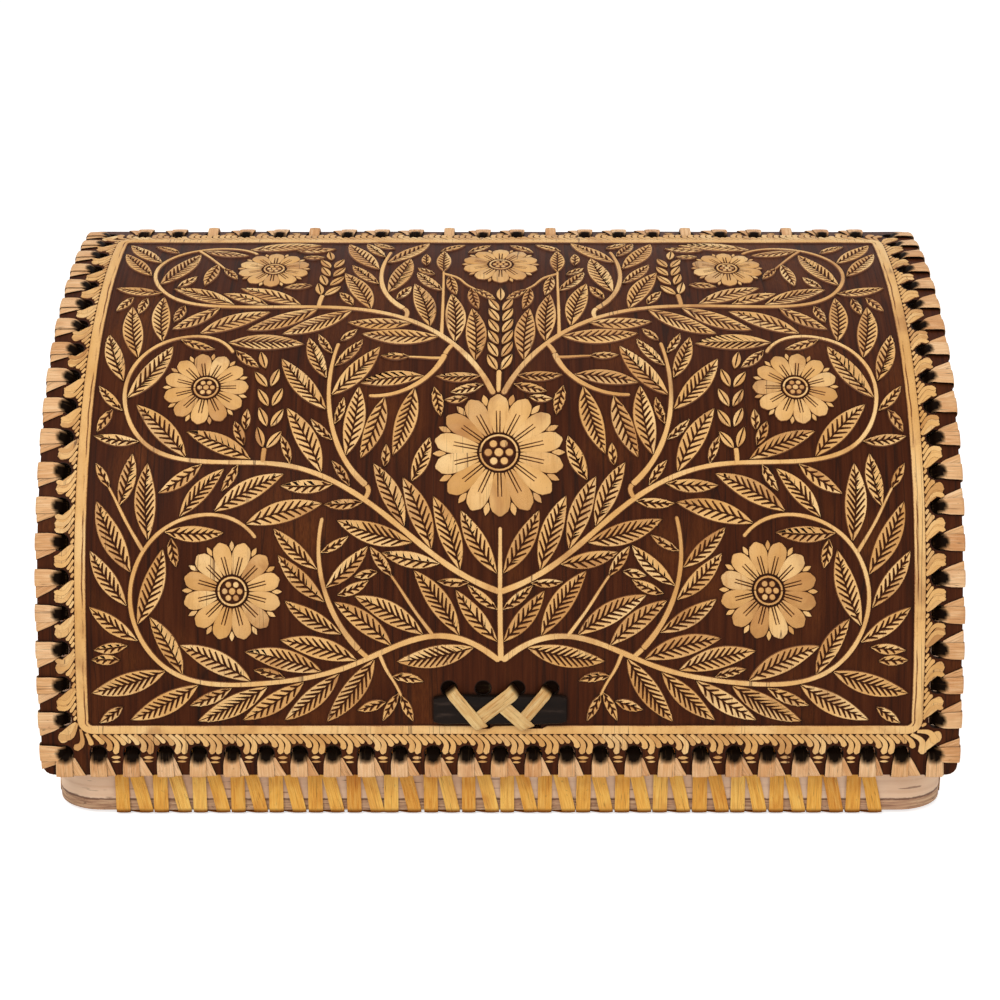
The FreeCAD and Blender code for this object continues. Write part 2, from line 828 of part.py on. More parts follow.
def rim_start():
    """The length along the lid's section at which the rim lacing of a side wall begins."""
    first_y = box_front + corner_radius + lace_width + rim_foot_width / 2
    hole_inset = rim_inset + edge_margin
    return solve(
        lambda length: section_point(turn_at_length(length), hole_inset)[0], first_y, section_length)


def corner_stitch():
    """A flat loop round an upright rear corner, through the side and the back. Right-hand corner."""
    face_x = box_half_width
    side_y = back_inner - corner_reach
    back_x = face_x - wall_total - corner_reach
    gap = lace_clearance
    inside = [
        (face_x + gap, side_y), (face_x + gap, box_back + gap), (back_x, box_back + gap),
        (back_x, back_inner - gap), (face_x - wall_total - gap, back_inner - gap),
        (face_x - wall_total - gap, side_y)]
    t = lace_thickness
    outside = [
        (face_x + gap + t, side_y - t), (face_x + gap + t, box_back + gap + t),
        (back_x - t, box_back + gap + t), (back_x - t, back_inner - gap - t),
        (face_x - wall_total - gap - t, back_inner - gap - t),
        (face_x - wall_total - gap - t, side_y - t)]
    half = lace_width / 2
    return prism(outside, -half, half).cut(prism(inside, -lace_width, lace_width))


def corner_heights():
    """Heights of the rear corner stitches, clear of the base lacing and of the lid."""
    end = hinge_height - corner_end_drop
    return spread(corner_start, end, corner_pitch)


def corner_holes(height):
    """The two holes of a right-hand corner stitch: one in the side, one in the back."""
    half = lace_thickness / 2
    side_start = FreeCAD.Vector(box_half_width - through / 2, back_inner - corner_reach - half, height)
    back_start = FreeCAD.Vector(
        box_half_width - wall_total - corner_reach - half, box_back - through / 2, height)
    radius = hole_diameter / 2
    return [
        Part.makeCylinder(radius, through, side_start, FreeCAD.Vector(1, 0, 0)),
        Part.makeCylinder(radius, through, back_start, FreeCAD.Vector(0, 1, 0))]


def mirrored_x(shape):
    return shape.mirror(FreeCAD.Vector(0, 0, 0), FreeCAD.Vector(1, 0, 0))


def raised(shape, height):
    moved = shape.copy()
    moved.translate(FreeCAD.Vector(0, 0, height))
    return moved


def wall_layer(outer_inset, inner_inset):
    """One bark layer of the front and side walls, cut to follow the lid and low at the front."""
    top = lid_top
    shell = tray(outer_inset, back_inner, board_top, top)
    shell = shell.cut(tray(inner_inset, back_inner + through, board_top - through, top + through))
    shell = shell.common(space_under(rim_inset, box_half_width + through))
    straight = box_half_width - corner_radius
    mouth = block((-straight, box_front - through, front_wall_height), (straight, 0, top + through))
    return shell.cut(mouth)


def make_box(loop_xs):
    parts = {}
    base_runs = base_frames()
    rim_runs = rim_frames()
    wall_holes = []
    slots = []
    for places in base_runs.values():
        for place in places:
            wall_holes.append(placed(punched_hole(wall_total, hole_diameter), *place))
            slots.append(placed(board_slot(), *place))
    for places in rim_runs.values():
        for place in places:
            wall_holes.append(placed(punched_hole(wall_total, hole_diameter), *place))
    corner_loops = []
    for height in corner_heights():
        corner_loops.append(raised(corner_stitch(), height))
        for hole in corner_holes(height):
            wall_holes += [hole, mirrored_x(hole)]
    reach, radius = hinge_hole(0.0, wall_total)
    back = FreeCAD.Vector(0, 1, 0)
    middle_y = box_back - wall_total / 2
    wall_holes += hinge_hole_cuts(loop_xs, middle_y, hinge_height - reach, radius, back)

    layer_step = wall_thickness + layer_gap
    parts["wall_bark"] = wall_layer(0.0, wall_thickness).cut(wall_holes)
    parts["wall_lining"] = wall_layer(layer_step, wall_total).cut(wall_holes)
    half = box_half_width
    parts["back_panel"] = block(
        (-half, box_back - wall_thickness, board_top), (half, box_back, hinge_height)).cut(wall_holes)
    parts["back_lining"] = block(
        (-half, back_inner, board_top),
        (half, box_back - layer_step, hinge_height)).cut(wall_holes)

    parts["base_board"] = tray(0.0, box_back, board_bottom, board_top).cut(slots)
    clear_of_lace = wall_total + lace_stand + slot_clearance
    parts["floor_lining"] = tray(
        clear_of_lace, box_back - clear_of_lace, board_top, board_top + floor_lining_thickness)
    parts["underside_sheet"] = tray(underside_inset, box_back - underside_inset, 0.0, board_bottom)

    for run, places in base_runs.items():
        foot_reach = run_pitch(places) - lace_width / 2 - base_strip_gap
        stitch = base_stitch(foot_reach)
        parts["base_lacing_" + run] = Part.makeCompound([placed(stitch, *place) for place in places])
    stitch = edge_stitch(wall_total, rim_foot_width)
    for run, places in rim_runs.items():
        parts["rim_lacing_" + run] = Part.makeCompound([placed(stitch, *place) for place in places])
    parts["corner_lacing_right"] = Part.makeCompound(corner_loops)
    parts["corner_lacing_left"] = Part.makeCompound([mirrored_x(loop) for loop in corner_loops])

    loops = []
    along = FreeCAD.Vector(1, 0, 0)
    for x in loop_xs:
        centre = FreeCAD.Vector(x - loop_width / 2, box_back, hinge_height)
        ring = Part.makeCylinder(loop_outer, loop_width, centre, along)
        loops.append(ring.cut(Part.makeCylinder(loop_inner, loop_width, centre, along)))
    parts["hinge_loops"] = Part.makeCompound(loops)
    return parts


os.makedirs("parts", exist_ok=True)
lid_parts, loop_positions = make_lid()
box_parts = make_box(loop_positions)
for name, shape in {**lid_parts, **box_parts}.items():
    shape.exportStep(f"parts/{name}.step")
print("width", round(lid_width + 2 * lace_stand, 2), "lid top", round(lid_top, 2))
print("box front", round(box_front, 3), "box back", round(box_back, 3), "hinge", round(hinge_height, 3))
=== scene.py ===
"""A laced birch bark box with a curved lid, dressed over the solids of the part's frame."""
import math

import bmesh
import bpy
import numpy as np
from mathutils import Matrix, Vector, geometry


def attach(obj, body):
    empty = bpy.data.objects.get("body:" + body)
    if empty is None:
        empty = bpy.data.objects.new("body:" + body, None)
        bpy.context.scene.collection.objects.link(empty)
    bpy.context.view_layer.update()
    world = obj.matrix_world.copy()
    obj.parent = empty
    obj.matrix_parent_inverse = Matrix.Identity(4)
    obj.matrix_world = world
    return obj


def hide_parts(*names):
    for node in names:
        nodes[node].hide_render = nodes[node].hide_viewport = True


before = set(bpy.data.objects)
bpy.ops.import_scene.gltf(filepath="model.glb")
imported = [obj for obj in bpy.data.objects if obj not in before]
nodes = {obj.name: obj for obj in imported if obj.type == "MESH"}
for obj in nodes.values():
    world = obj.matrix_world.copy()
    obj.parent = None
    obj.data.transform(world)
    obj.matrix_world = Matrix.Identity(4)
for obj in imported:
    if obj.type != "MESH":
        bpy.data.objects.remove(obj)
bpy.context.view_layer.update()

# Everything below is in millimetres unless it says otherwise; meshes are scaled once, when built.
MM = 0.001
SEED = 7
rng = np.random.default_rng(SEED)

# The lid and box, as the solids have them; an arc is its radius and the turns it starts and ends at
LID_ARCS = ((260.0, 0.0, 17.0), (135.0, 17.0, 63.0), (190.0, 63.0, 90.0))
LID_BOTTOM = 20.0
LID_HALF = 173.75
LID_LENGTH = 275.064
LID_CORNER = 4.0
LID_THICK = 3.0
SHEET = 1.6
LAYER_GAP = 0.1
WALL_THICK = 3.0
EDGE_MARGIN = 8.7
HOLE_RADIUS = 3.2
BOX_HALF = 172.5
BOX_BACK = 78.480
BOX_FRONT = -BOX_BACK
LID_FRONT = BOX_FRONT - 8.2715
BACK_INNER = BOX_BACK - WALL_THICK
CORNER_RADIUS = 19.0
RIM_INSET = 5.85
FRONT_WALL = 55.0
HINGE_Z = 191.741
STRAP_S = 26.7
STRAP_LENGTH = 50.0
STRAP_WIDTH = 11.0
BASE_HOLE_Z = 35.0
BOARD_BOTTOM = 1.5
BOARD_TOP = 6.0
BASE_PITCH = 14.8
RIM_PITCH = 14.0


# ---------------------------------------------------------------- the lid's surface

def section(length, inset):
    """(y, z, turn) of the lid's section at lengths along its outer face, inset inwards."""
    length = np.asarray(length, float)
    on = np.clip(length, 0, LID_LENGTH)
    y, z, turn = np.full_like(on, LID_FRONT), np.full_like(on, LID_BOTTOM), np.zeros_like(on)
    passed = 0.0
    for radius, start, end in LID_ARCS:
        first, last = math.radians(start), math.radians(end)
        reached = np.clip((on - passed) / radius, 0, last - first) + first
        y += radius * (math.cos(first) - np.cos(reached))
        z += radius * (np.sin(reached) - math.sin(first))
        turn = np.where(on > passed, reached, turn)
        passed += radius * (last - first)
    beyond = length - on
    y += beyond * np.sin(turn) + inset * np.cos(turn)
    z += beyond * np.cos(turn) - inset * np.sin(turn)
    return y, z, turn


def lid_point(x, s, height):
    """Points on the lid: x across, s along the section from the front edge, height off its face."""
    x, s, height = np.broadcast_arrays(np.asarray(x, float), s, height)
    y, z, _ = section(s, -height)
    return np.stack([x, y, z], 1)


def ripple(x, s):
    """The slow unevenness of real bark, about a tenth of a millimetre."""
    return 0.07 * np.sin(x / 21 + 1.3) * np.sin(s / 27) + 0.05 * np.sin(x / 9 + s / 14)


# ---------------------------------------------------------------- lines and outlines

def unit(vectors):
    size = np.linalg.norm(vectors, axis=-1, keepdims=True)
    return vectors / np.maximum(size, 1e-9)


def left_of(ways):
    return np.stack([-ways[..., 1], ways[..., 0]], -1)


def direction(angle):
    return np.array([math.cos(angle), math.sin(angle)])


def run_of(line):
    """The length from a line's start to each of its points."""
    return np.concatenate([[0], np.cumsum(np.linalg.norm(np.diff(line, axis=0), axis=1))])


def points_at(line, run, at):
    """The points of a line where its run has some values."""
    return np.stack([np.interp(at, run, part) for part in np.asarray(line).T], -1)


def with_third(flat, value):
    return np.concatenate([flat, np.full((len(flat), 1), value)], 1)


def signed_area(outline):
    x, y = outline.T
    return 0.5 * np.sum(x * np.roll(y, -1) - y * np.roll(x, -1))


def grown(outline, distance):
    """An anticlockwise outline with each point moved outwards."""
    before = unit(outline - np.roll(outline, 1, 0))
    after = unit(np.roll(outline, -1, 0) - outline)
    out = -left_of(unit(before + after))
    square = np.clip(np.einsum("ij,ij->i", out, -left_of(after)), 0.6, 1)
    return outline + out * (distance / square)[:, None]


def arc(x, s, radius, turns):
    return np.stack([x + radius * np.cos(turns), s + radius * np.sin(turns)], 1)


def circle(x, s, radius, count=28):
    return arc(x, s, radius, np.arange(count) * 2 * math.pi / count)


def fading(values, start, length):
    """1 up to the start and 0 from a length beyond it."""
    return np.clip(1.0 - (values - start) / length, 0, 1)


def bar_outline(line, widths):
    """The outline of a line with a width at each point."""
    line = np.asarray(line, float)
    side = left_of(unit(np.gradient(line, axis=0))) * (np.asarray(widths) / 2)[:, None]
    return np.concatenate([line - side, (line + side)[::-1]])


def smooth_line(points, steps, closed=False):
    """A smooth line through the points, with that many steps between each two."""
    points = np.asarray(points, float)
    before, after = 2 * points[:1] - points[1:2], 2 * points[-1:] - points[-2:-1]
    if closed:
        before, after = points[-1:], points[:2]
    padded = np.concatenate([before, points, after])
    t = (np.arange(steps) / steps)[:, None]
    rows = [0.5 * (2 * b + (c - a) * t + (2 * a - 5 * b + 4 * c - d) * t ** 2
                   + (3 * b - a - 3 * c + d) * t ** 3)
            for a, b, c, d in zip(padded, padded[1:], padded[2:], padded[3:])]
    return np.concatenate(rows if closed else [*rows, points[-1:]])


def triangles(outline):
    """The inside of an outline as triangles, all anticlockwise."""
    found = geometry.tessellate_polygon([[Vector((x, y, 0)) for x, y in outline]])
    found = np.array(found, int).reshape(-1, 3)
    a, b, c = (outline[found[:, k]] for k in range(3))
    flipped = (b - a)[:, 0] * (c - a)[:, 1] - (b - a)[:, 1] * (c - a)[:, 0] < 0
    found[flipped] = found[flipped][:, ::-1]
    return found


# ---------------------------------------------------------------- meshes

class Shell:
    """Vertices and faces of one piece, with a tone and a grain position for each vertex."""

    def __init__(self):
        self.points, self.tones, self.grains = [], [], []
        self.faces = {3: [], 4: []}
        self.total = 0

    def add(self, points, faces, tones, grains):
        self.points.append(points)
        self.tones.append(np.broadcast_to(np.asarray(tones, float), (len(points),)))
        self.grains.append(grains)
        for group in map(np.asarray, faces):
            if len(group):
                self.faces[group.shape[1]].append(group + self.total)
        self.total += len(points)

    def build(self, name, material, body, slot, replaced=(), sharp=40):
        mesh = bpy.data.meshes.new(name)
        faces = [face for group in (4, 3) for block in self.faces[group] for face in block.tolist()]
        mesh.from_pydata((np.concatenate(self.points) * MM).tolist(), [], faces)
        for key, kind, field, rows in (("tone", "FLOAT", "value", self.tones),
                                       ("grain", "FLOAT_VECTOR", "vector", self.grains)):
            values = np.concatenate(rows).astype(np.float32).ravel()
            mesh.attributes.new(key, kind, "POINT").data.foreach_set(field, values)
        work = bmesh.new()
        work.from_mesh(mesh)
        bmesh.ops.recalc_face_normals(work, faces=work.faces)
        work.to_mesh(mesh)
        work.free()
        mesh.shade_smooth()
        mesh.set_sharp_from_angle(angle=math.radians(sharp))
        mesh.materials.append(material)
        piece = bpy.data.objects.new(name, mesh)
        bpy.context.scene.collection.objects.link(piece)
        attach(piece, body)
        if replaced:
            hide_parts(*replaced)


def ring_faces(rings, size, closed=False, caps=False):
    """Quads between rings of so many vertices each, and fans over the two end rings."""
    ring = np.arange(size)
    after = np.roll(ring, -1)
    faces = []
    for index in range(rings if closed else rings - 1):
        low, high = index * size, (index + 1) % rings * size
        faces.append(np.stack([ring + low, after + low, after + high, ring + high], 1))
    for low in (0, (rings - 1) * size) if caps else ():
        faces.append(np.array([(low, low + k, low + k + 1) for k in range(1, size - 1)]))
    return faces


RELIEF = 0.62
BEVEL = 0.16
SINK = 0.15
FLARE = 0.45
INSET = 0.2
BEVEL_TONE = 0.72


def emboss(shell, outline, height=RELIEF, flare=FLARE, inset=INSET, seed=0.0, strip=False):
    """Raises an outline in x and s off the lid: dark sloped sides, a bevel and a gold top.
    The outline of a strip is capped with quads from its one side to the other."""
    outline = np.asarray(outline, float)
    if signed_area(outline) < 0:
        outline = outline[::-1]
    count = len(outline)
    base, top = grown(outline, flare), grown(outline, -inset)
    flat = np.concatenate([base, outline, top])
    heights = np.repeat((-SINK, height - BEVEL, height), count) + ripple(*flat.T)
    if strip:
        near = np.arange(count // 2 - 1)
        caps = np.stack([near, near + 1, count - 2 - near, count - 1 - near], 1)
        bottoms = caps[:, ::-1]
    else:
        caps, bottoms = triangles(top), triangles(base)[:, ::-1]
    shell.add(lid_point(*flat.T, heights), [*ring_faces(3, count), caps + 2 * count, bottoms],
              np.repeat((1.0, BEVEL_TONE, 0.0), count), with_third(flat, seed))


# ---------------------------------------------------------------- materials

def colour_of(value):
    """Red, green and blue as 0 to 255, or a grey as 0 to 1, as a shader takes them."""
    if not isinstance(value, tuple):
        return value, value, value, 1.0
    shares = [channel / 255 for channel in value]
    return (*[s / 12.92 if s <= 0.04045 else ((s + 0.055) / 1.055) ** 2.4 for s in shares], 1.0)


class Paint:
    """The nodes of a material or of the world."""

    def __init__(self, holder):
        self.holder = holder
        holder.use_nodes = True
        self.tree = holder.node_tree
        self.tree.nodes.clear()

    def node(self, kind, sockets=None, **settings):
        made = self.tree.nodes.new("ShaderNode" + kind)
        for key, value in settings.items():
            setattr(made, key, value)
        for key, value in (sockets or {}).items():
            if isinstance(value, bpy.types.NodeSocket):
                self.tree.links.new(value, made.inputs[key])
            else:
                made.inputs[key].default_value = value
        return made

    def tone(self):
        return self.node("Attribute", attribute_name="tone").outputs["Fac"]

    def grain(self):
        return self.node("Attribute", attribute_name="grain").outputs["Vector"]

    def noises(self, source, *rows):
        """Noises, each from its x, y and z scales per unit of the source, its detail and distortion.
        Without a source they lie in the object's own millimetres."""
        found = []
        for x, y, z, detail, *distortion in rows:
            scale = np.array([x, y, z]) / (MM if source is None else 1)
            vector = self.node("TexCoord").outputs["Object"] if source is None else source
            where = self.node("Mapping", {"Vector": vector, "Scale": scale}).outputs[0]
            found.append(self.node("TexNoise", {
                "Vector": where, "Scale": 1.0, "Detail": detail, "Roughness": 0.55,
                "Distortion": distortion[0] if distortion else 0.0}).outputs["Fac"])
        return found

    def ramp(self, factor, *stops):
        made = self.node("ValToRGB", {"Fac": factor})
        elements = made.color_ramp.elements
        while len(elements) < len(stops):
            elements.new(0.5)
        for element, (at, value) in zip(elements, stops):
            element.position = at
            element.color = colour_of(value)
        return made.outputs["Color"]

    def mix(self, factor, first, second):
        first, second = (colour_of(part) if isinstance(part, tuple) else part for part in (first, second))
        return self.node("Mix", {0: factor, 6: first, 7: second}, data_type="RGBA").outputs[2]

    def tinted(self, colour, *layers):
        """A colour with others laid over it, each as strong as its ramp of a factor."""
        for factor, stops, other in layers:
            colour = self.mix(self.ramp(factor, *stops), colour, other)
        return colour

    def math(self, kind, *values):
        return self.node("Math", dict(enumerate(values)), operation=kind).outputs[0]

    def ragged(self, edge, noise, amount):
        """An even edge made ragged by a noise."""
        return self.math("ADD", edge, self.math("MULTIPLY", self.math("SUBTRACT", noise, 0.5), amount))

    def chance(self, grain):
        """A random value for each part, from its grain's third number."""
        seed = self.node("SeparateXYZ", {0: grain}).outputs[2]
        return self.node("TexWhiteNoise", {"W": seed}, noise_dimensions="1D").outputs["Value"]

    def occlusion_shade(self, distance, samples=4):
        """1 in the open and less near other surfaces, by ambient occlusion; a colour darkened by it is
        painted shade.
        """
        return self.node("AmbientOcclusion", {"Distance": distance * MM}, samples=samples).outputs["AO"]

    def seam(self, noise):
        """1 in a thin ragged line where the wall meets the board."""
        parts = self.node("SeparateXYZ", {0: self.node("TexCoord").outputs["Object"]})
        height = self.math("SUBTRACT", self.math("DIVIDE", parts.outputs[2], MM), BOARD_TOP)
        height = self.ragged(height, noise, 0.9)
        return self.ramp(self.math("ABSOLUTE", height), (0.25, 0.85), (0.55, 0.0))

    def surface(self, colour, roughness, bump, strength, distance, gloss=None):
        normal = self.node("Bump", {"Strength": strength, "Distance": distance * MM, "Height": bump})
        values = {"Base Color": colour, "Roughness": roughness, "Normal": normal.outputs[0]}
        if gloss is not None:
            values["Specular IOR Level"] = gloss
        shader = self.node("BsdfPrincipled", values)
        self.node("OutputMaterial", {"Surface": shader.outputs[0]})
        return self.holder


def new_paint(name):
    return Paint(bpy.data.materials.new(name))


NEAR_BLACK = (22, 11, 5)
# Brown of the relief's cracks, and of the painted shade near other parts
CRACK_AND_SHADE_BROWN = (70, 36, 16)
SEAM_BROWN = (92, 54, 34)
GOLD_SHADE_REACH = 3.0
GROUND_SHADE_REACH = 1.6
STRIP_SHADE_REACH = 1.3


def gold_relief():
    """Raised bark: golden tan, browner at its edges, near black on its sides, and painted shade near other
    parts.
    """
    paint = new_paint("bark_gold")
    tone, grain = paint.tone(), paint.grain()
    wide, streak, fine, lines, stain = paint.noises(
        grain, (0.035, 0.02, 1.0, 3), (0.9, 0.07, 1.0, 4), (2.2, 1.1, 1.0, 4), (0.16, 0.004, 1.0, 1, 0.6),
        (0.045, 0.035, 1.0, 4, 0.8))
    gold = paint.tinted(
        paint.ramp(wide, (0.30, (216, 159, 86)), (0.5, (236, 184, 114)), (0.7, (248, 206, 142))),
        (streak, ((0.56, 0.0), (0.74, 0.5)), (196, 138, 72)),
        (fine, ((0.60, 0.0), (0.78, 0.55)), (165, 108, 56)),
        (paint.chance(grain), ((0.0, 0.75), (0.25, 0.35), (0.5, 0.0)), (190, 130, 68)),
        (stain, ((0.54, 0.0), (0.68, 0.55)), (168, 108, 54)))
    crack = paint.math("MULTIPLY", paint.ramp(lines, (0.492, 0.0), (0.5, 0.9), (0.508, 0.0)),
                       paint.ramp(wide, (0.5, 0.0), (0.56, 1.0)))
    side = paint.mix(paint.ramp(tone, (0.75, 0.0), (1.0, 1.0)), (126, 68, 28), NEAR_BLACK)
    colour = paint.tinted(
        paint.mix(crack, gold, CRACK_AND_SHADE_BROWN),
        (paint.ragged(tone, fine, 0.9), ((0.18, 0.0), (0.5, 0.55), (0.72, 1.0)), side),
        # Painted shade: browner beside the strap, the lacing and other raised parts
        (paint.occlusion_shade(GOLD_SHADE_REACH), ((0.4, 0.8), (0.85, 0.0)), CRACK_AND_SHADE_BROWN))
    return paint.surface(colour, 0.5, streak, 0.35, 0.12, gloss=0.3)


def dark_ground():
    """The stained bark between the raised shapes."""
    paint = new_paint("bark_dark")
    tone, grain = paint.tone(), paint.grain()
    wide, streak, fine, lines = paint.noises(
        grain, (0.03, 0.018, 1.0, 3), (0.55, 0.022, 1.0, 4), (2.4, 0.35, 1.0, 4), (0.16, 0.004, 1.0, 1, 0.6))
    warm = paint.math("MULTIPLY", paint.ramp(wide, (0.52, 0.0), (0.72, 0.85)),
                      paint.ramp(fine, (0.35, 0.2), (0.7, 1.0)))
    stained = paint.ramp(streak, (0.3, (45, 18, 4)), (0.5, (65, 27, 7)), (0.72, (80, 38, 15)))
    colour = paint.tinted(
        paint.mix(warm, stained, (110, 58, 22)),
        (lines, ((0.485, 0.0), (0.5, 0.7), (0.515, 0.0)), NEAR_BLACK),
        # Painted shade: near black beside the raised shapes, standing also for the stain along their edges
        (paint.occlusion_shade(GROUND_SHADE_REACH, 6), ((0.55, 0.85), (0.9, 0.0)), NEAR_BLACK),
        # Near black where tone is high, round and inside the holes and on the sheet's edges: charred bark
        # and painted shade in the holes
        (tone, ((0.2, 0.0), (0.8, 1.0)), paint.ramp(fine, (0.3, (12, 7, 4)), (0.7, (34, 18, 10)))))
    return paint.surface(colour, 0.5, fine, 0.5, 0.15, gloss=0.07)


def bast(name, light, middle, dark, burnt_and_shade, fleck=0.45, worn=(128, 80, 46), patches=(0.66, 0.74)):
    """A flat strip of bast or bark: long fibres; darker where tone is high, partly charred and partly
    painted shade where it goes into a hole or under another part, and painted shade where it nears other
    surfaces.
    """
    paint = new_paint(name)
    tone, grain = paint.tone(), paint.grain()
    fibre, cloud, flecks, splits = paint.noises(
        grain, (1.7, 0.11, 9.0, 4), (0.12, 0.07, 5.0, 3), (1.1, 0.5, 7.0, 3), (0.9, 0.02, 13.0, 1))
    colour = paint.tinted(
        paint.mix(0.5, paint.ramp(fibre, (0.3, dark), (0.5, middle), (0.68, light)),
                  paint.ramp(paint.chance(grain), (0.0, dark), (0.45, middle), (1.0, light))),
        (cloud, ((0.5, 0.0), (0.75, 0.6)), dark),
        (splits, ((0.488, 0.0), (0.5, 0.6), (0.512, 0.0)), burnt_and_shade),
        (flecks, ((patches[0], 0.0), (patches[1], fleck)), worn),
        # Painted shade where the strips cross and touch other parts
        (paint.occlusion_shade(STRIP_SHADE_REACH), ((0.35, 0.75), (0.8, 0.0)), burnt_and_shade))
    # Darker where tone is high: charred ends, and painted shade where a strip goes into a hole or under
    # another part
    scorched_and_shaded = paint.ramp(paint.ragged(tone, fibre, 0.45), (0.2, 0.0), (0.6, 0.7), (0.95, 1.0))
    gloss = paint.ramp(scorched_and_shaded, (0.0, 0.16), (0.8, 0.02))
    return paint.surface(paint.mix(scorched_and_shaded, colour, burnt_and_shade), 0.5, fibre, 0.5, 0.18, gloss)


def plain_bark(name, light, middle, dark, lenticel):
    """Unstained bark with short dark lenticels."""
    paint = new_paint(name)
    cloud, band, dash, fine = paint.noises(
        None, (0.012, 0.012, 0.012, 4), (0.012, 0.012, 0.5, 4), (0.084, 0.084, 0.75, 2), (0.6, 0.6, 1.2, 4))
    colour = paint.tinted(
        paint.ramp(cloud, (0.3, dark), (0.5, middle), (0.7, light)),
        (band, ((0.45, 0.0), (0.7, 0.45)), dark),
        (dash, ((0.66, 0.0), (0.71, 0.75)), lenticel),
        (fine, ((0.55, 0.0), (0.8, 0.3)), light))
    # Near black where tone is high, round and inside the lining's holes and on its edges: charred bark and
    # painted shade in the holes; brown along the seam with the board
    colour = paint.mix(paint.seam(fine), paint.mix(paint.tone(), colour, NEAR_BLACK), SEAM_BROWN)
    return paint.surface(colour, 0.6, band, 0.35, 0.2)


def fibre_board():
    """The tan board under the bark, with fibres and pits on its edge."""
    paint = new_paint("board_fibre")
    fibre, pits, cloud = paint.noises(None, (0.09, 0.09, 1.6, 5), (0.5, 0.5, 0.9, 4), (0.02, 0.02, 0.05, 3))
    colour = paint.tinted(
        paint.ramp(fibre, (0.3, (104, 72, 52)), (0.43, (166, 124, 92)), (0.56, (196, 156, 120)),
                   (0.72, (224, 188, 148))),
        (cloud, ((0.45, 0.0), (0.7, 0.5)), (196, 146, 116)),
        (pits, ((0.62, 0.0), (0.7, 0.7)), (96, 62, 42)))
    return paint.surface(paint.mix(paint.seam(pits), colour, SEAM_BROWN), 0.75, pits, 0.7, 0.4)


def black_strap():
    paint = new_paint("strap_black")
    worn, fine = paint.noises(None, (0.05, 0.4, 0.25, 5), (0.7, 1.2, 1.2, 4))
    colour = paint.ramp(worn, (0.35, (15, 9, 6)), (0.6, (28, 19, 14)), (0.78, (66, 52, 44)))
    return paint.surface(colour, paint.ramp(fine, (0.3, 0.34), (0.7, 0.55)), fine, 0.35, 0.15, gloss=0.07)


GOLD = gold_relief()
DARK = dark_ground()
LACE_TAN = bast("lace_tan", (250, 210, 164), (228, 174, 118), (196, 132, 80), (18, 9, 4))
LACE_YELLOW = bast("lace_yellow", (255, 212, 118), (243, 181, 80), (198, 120, 42), (120, 66, 24))
LACE_CREAM = bast("lace_cream", (250, 228, 172), (236, 200, 134), (188, 126, 62), (34, 18, 8),
                  fleck=0.5, worn=(150, 92, 46), patches=(0.6, 0.76))
BARK_PALE = plain_bark("bark_pale", (250, 219, 188), (232, 194, 159), (207, 159, 121), (128, 84, 58))
BARK_PLAIN = plain_bark("bark_plain", (222, 184, 138), (204, 160, 112), (178, 130, 86), (112, 72, 46))
BOARD = fibre_board()
STRAP = black_strap()


# ---------------------------------------------------------------- the lid's sheets

SIDE_HOLE_X = 165.05
REAR_S = 266.364
LOOP_HOLE_S = 269.805
LOOP_HOLE_RADIUS = 3.25
STRAP_HOLE_RADIUS = 3.0
FRONT_HOLES = [-SIDE_HOLE_X + 12.696154 * k for k in range(1, 26)]
SIDE_HOLES = [EDGE_MARGIN + 13.561263 * k for k in range(20)]
REAR_PLACES = [-SIDE_HOLE_X + 14.352174 * (k + 1) for k in range(22)]
LOOP_PLACES = (2, 5, 9, 12, 16, 19)
LOOP_XS = [REAR_PLACES[k] for k in LOOP_PLACES]
REAR_HOLES = [x for k, x in enumerate(REAR_PLACES) if k not in LOOP_PLACES]
# The handle's four round holes above its strap, and its two slots below
HANDLE_UP = STRAP_WIDTH / 2 + 2.3
HANDLE_LOW = -STRAP_WIDTH / 2 - 1.0
HANDLE_XS = (-19.2, -6.4, 6.4, 19.2)
SLOT_XS = (-6.4, 12.8)
SLOT_HALF = (2.7, 1.1)

lid_holes = [(x, EDGE_MARGIN, HOLE_RADIUS) for x in FRONT_HOLES]
lid_holes += [(x, REAR_S, HOLE_RADIUS) for x in REAR_HOLES]
lid_holes += [(side * SIDE_HOLE_X, s, HOLE_RADIUS) for side in (-1, 1) for s in SIDE_HOLES]
lid_holes += [(x, LOOP_HOLE_S, LOOP_HOLE_RADIUS) for x in LOOP_XS]
lid_holes += [(x, STRAP_S + HANDLE_UP, STRAP_HOLE_RADIUS) for x in HANDLE_XS]
lid_slots = [(x, STRAP_S + HANDLE_LOW) for x in SLOT_XS]


def rounded_outline(half_x, low, high, radius, step):
    """An anticlockwise rounded rectangle: points and outward directions."""
    points, outs = [], []
    corners = [(half_x, low, -90), (half_x, high, 0), (-half_x, high, 90), (-half_x, low, 180)]
    for (x, s, start), (next_x, next_s, _) in zip(corners, corners[1:] + corners[:1]):
        centre = np.array([x - math.copysign(radius, x), s + (radius if s == low else -radius)])
        arc_steps = max(4, int(radius * math.pi / 2 / step))
        for turn in np.radians(start + 90 * np.arange(arc_steps + 1) / arc_steps):
            outs.append(direction(turn))
            points.append(centre + radius * outs[-1])
        run = abs(next_x - x) + abs(next_s - s) - 2 * radius
        way, begin, steps = outs[-1], points[-1], int(run / step)
        for index in range(1, steps):
            points.append(begin + left_of(way) * run * index / steps)
            outs.append(way)
    return np.array(points), np.array(outs)


def off_holes(spots, hole_room, slot_room):
    """Which spots of the lid keep some room to its holes and slots."""
    clear = np.ones(len(spots), bool)
    for x, s, radius in lid_holes:
        clear &= np.hypot(spots[:, 0] - x, spots[:, 1] - s) > radius + hole_room
    for place in lid_slots:
        clear &= (np.abs(spots - place) > np.array(SLOT_HALF) + slot_room).any(1)
    return clear


SHEET_GRID = 4.0


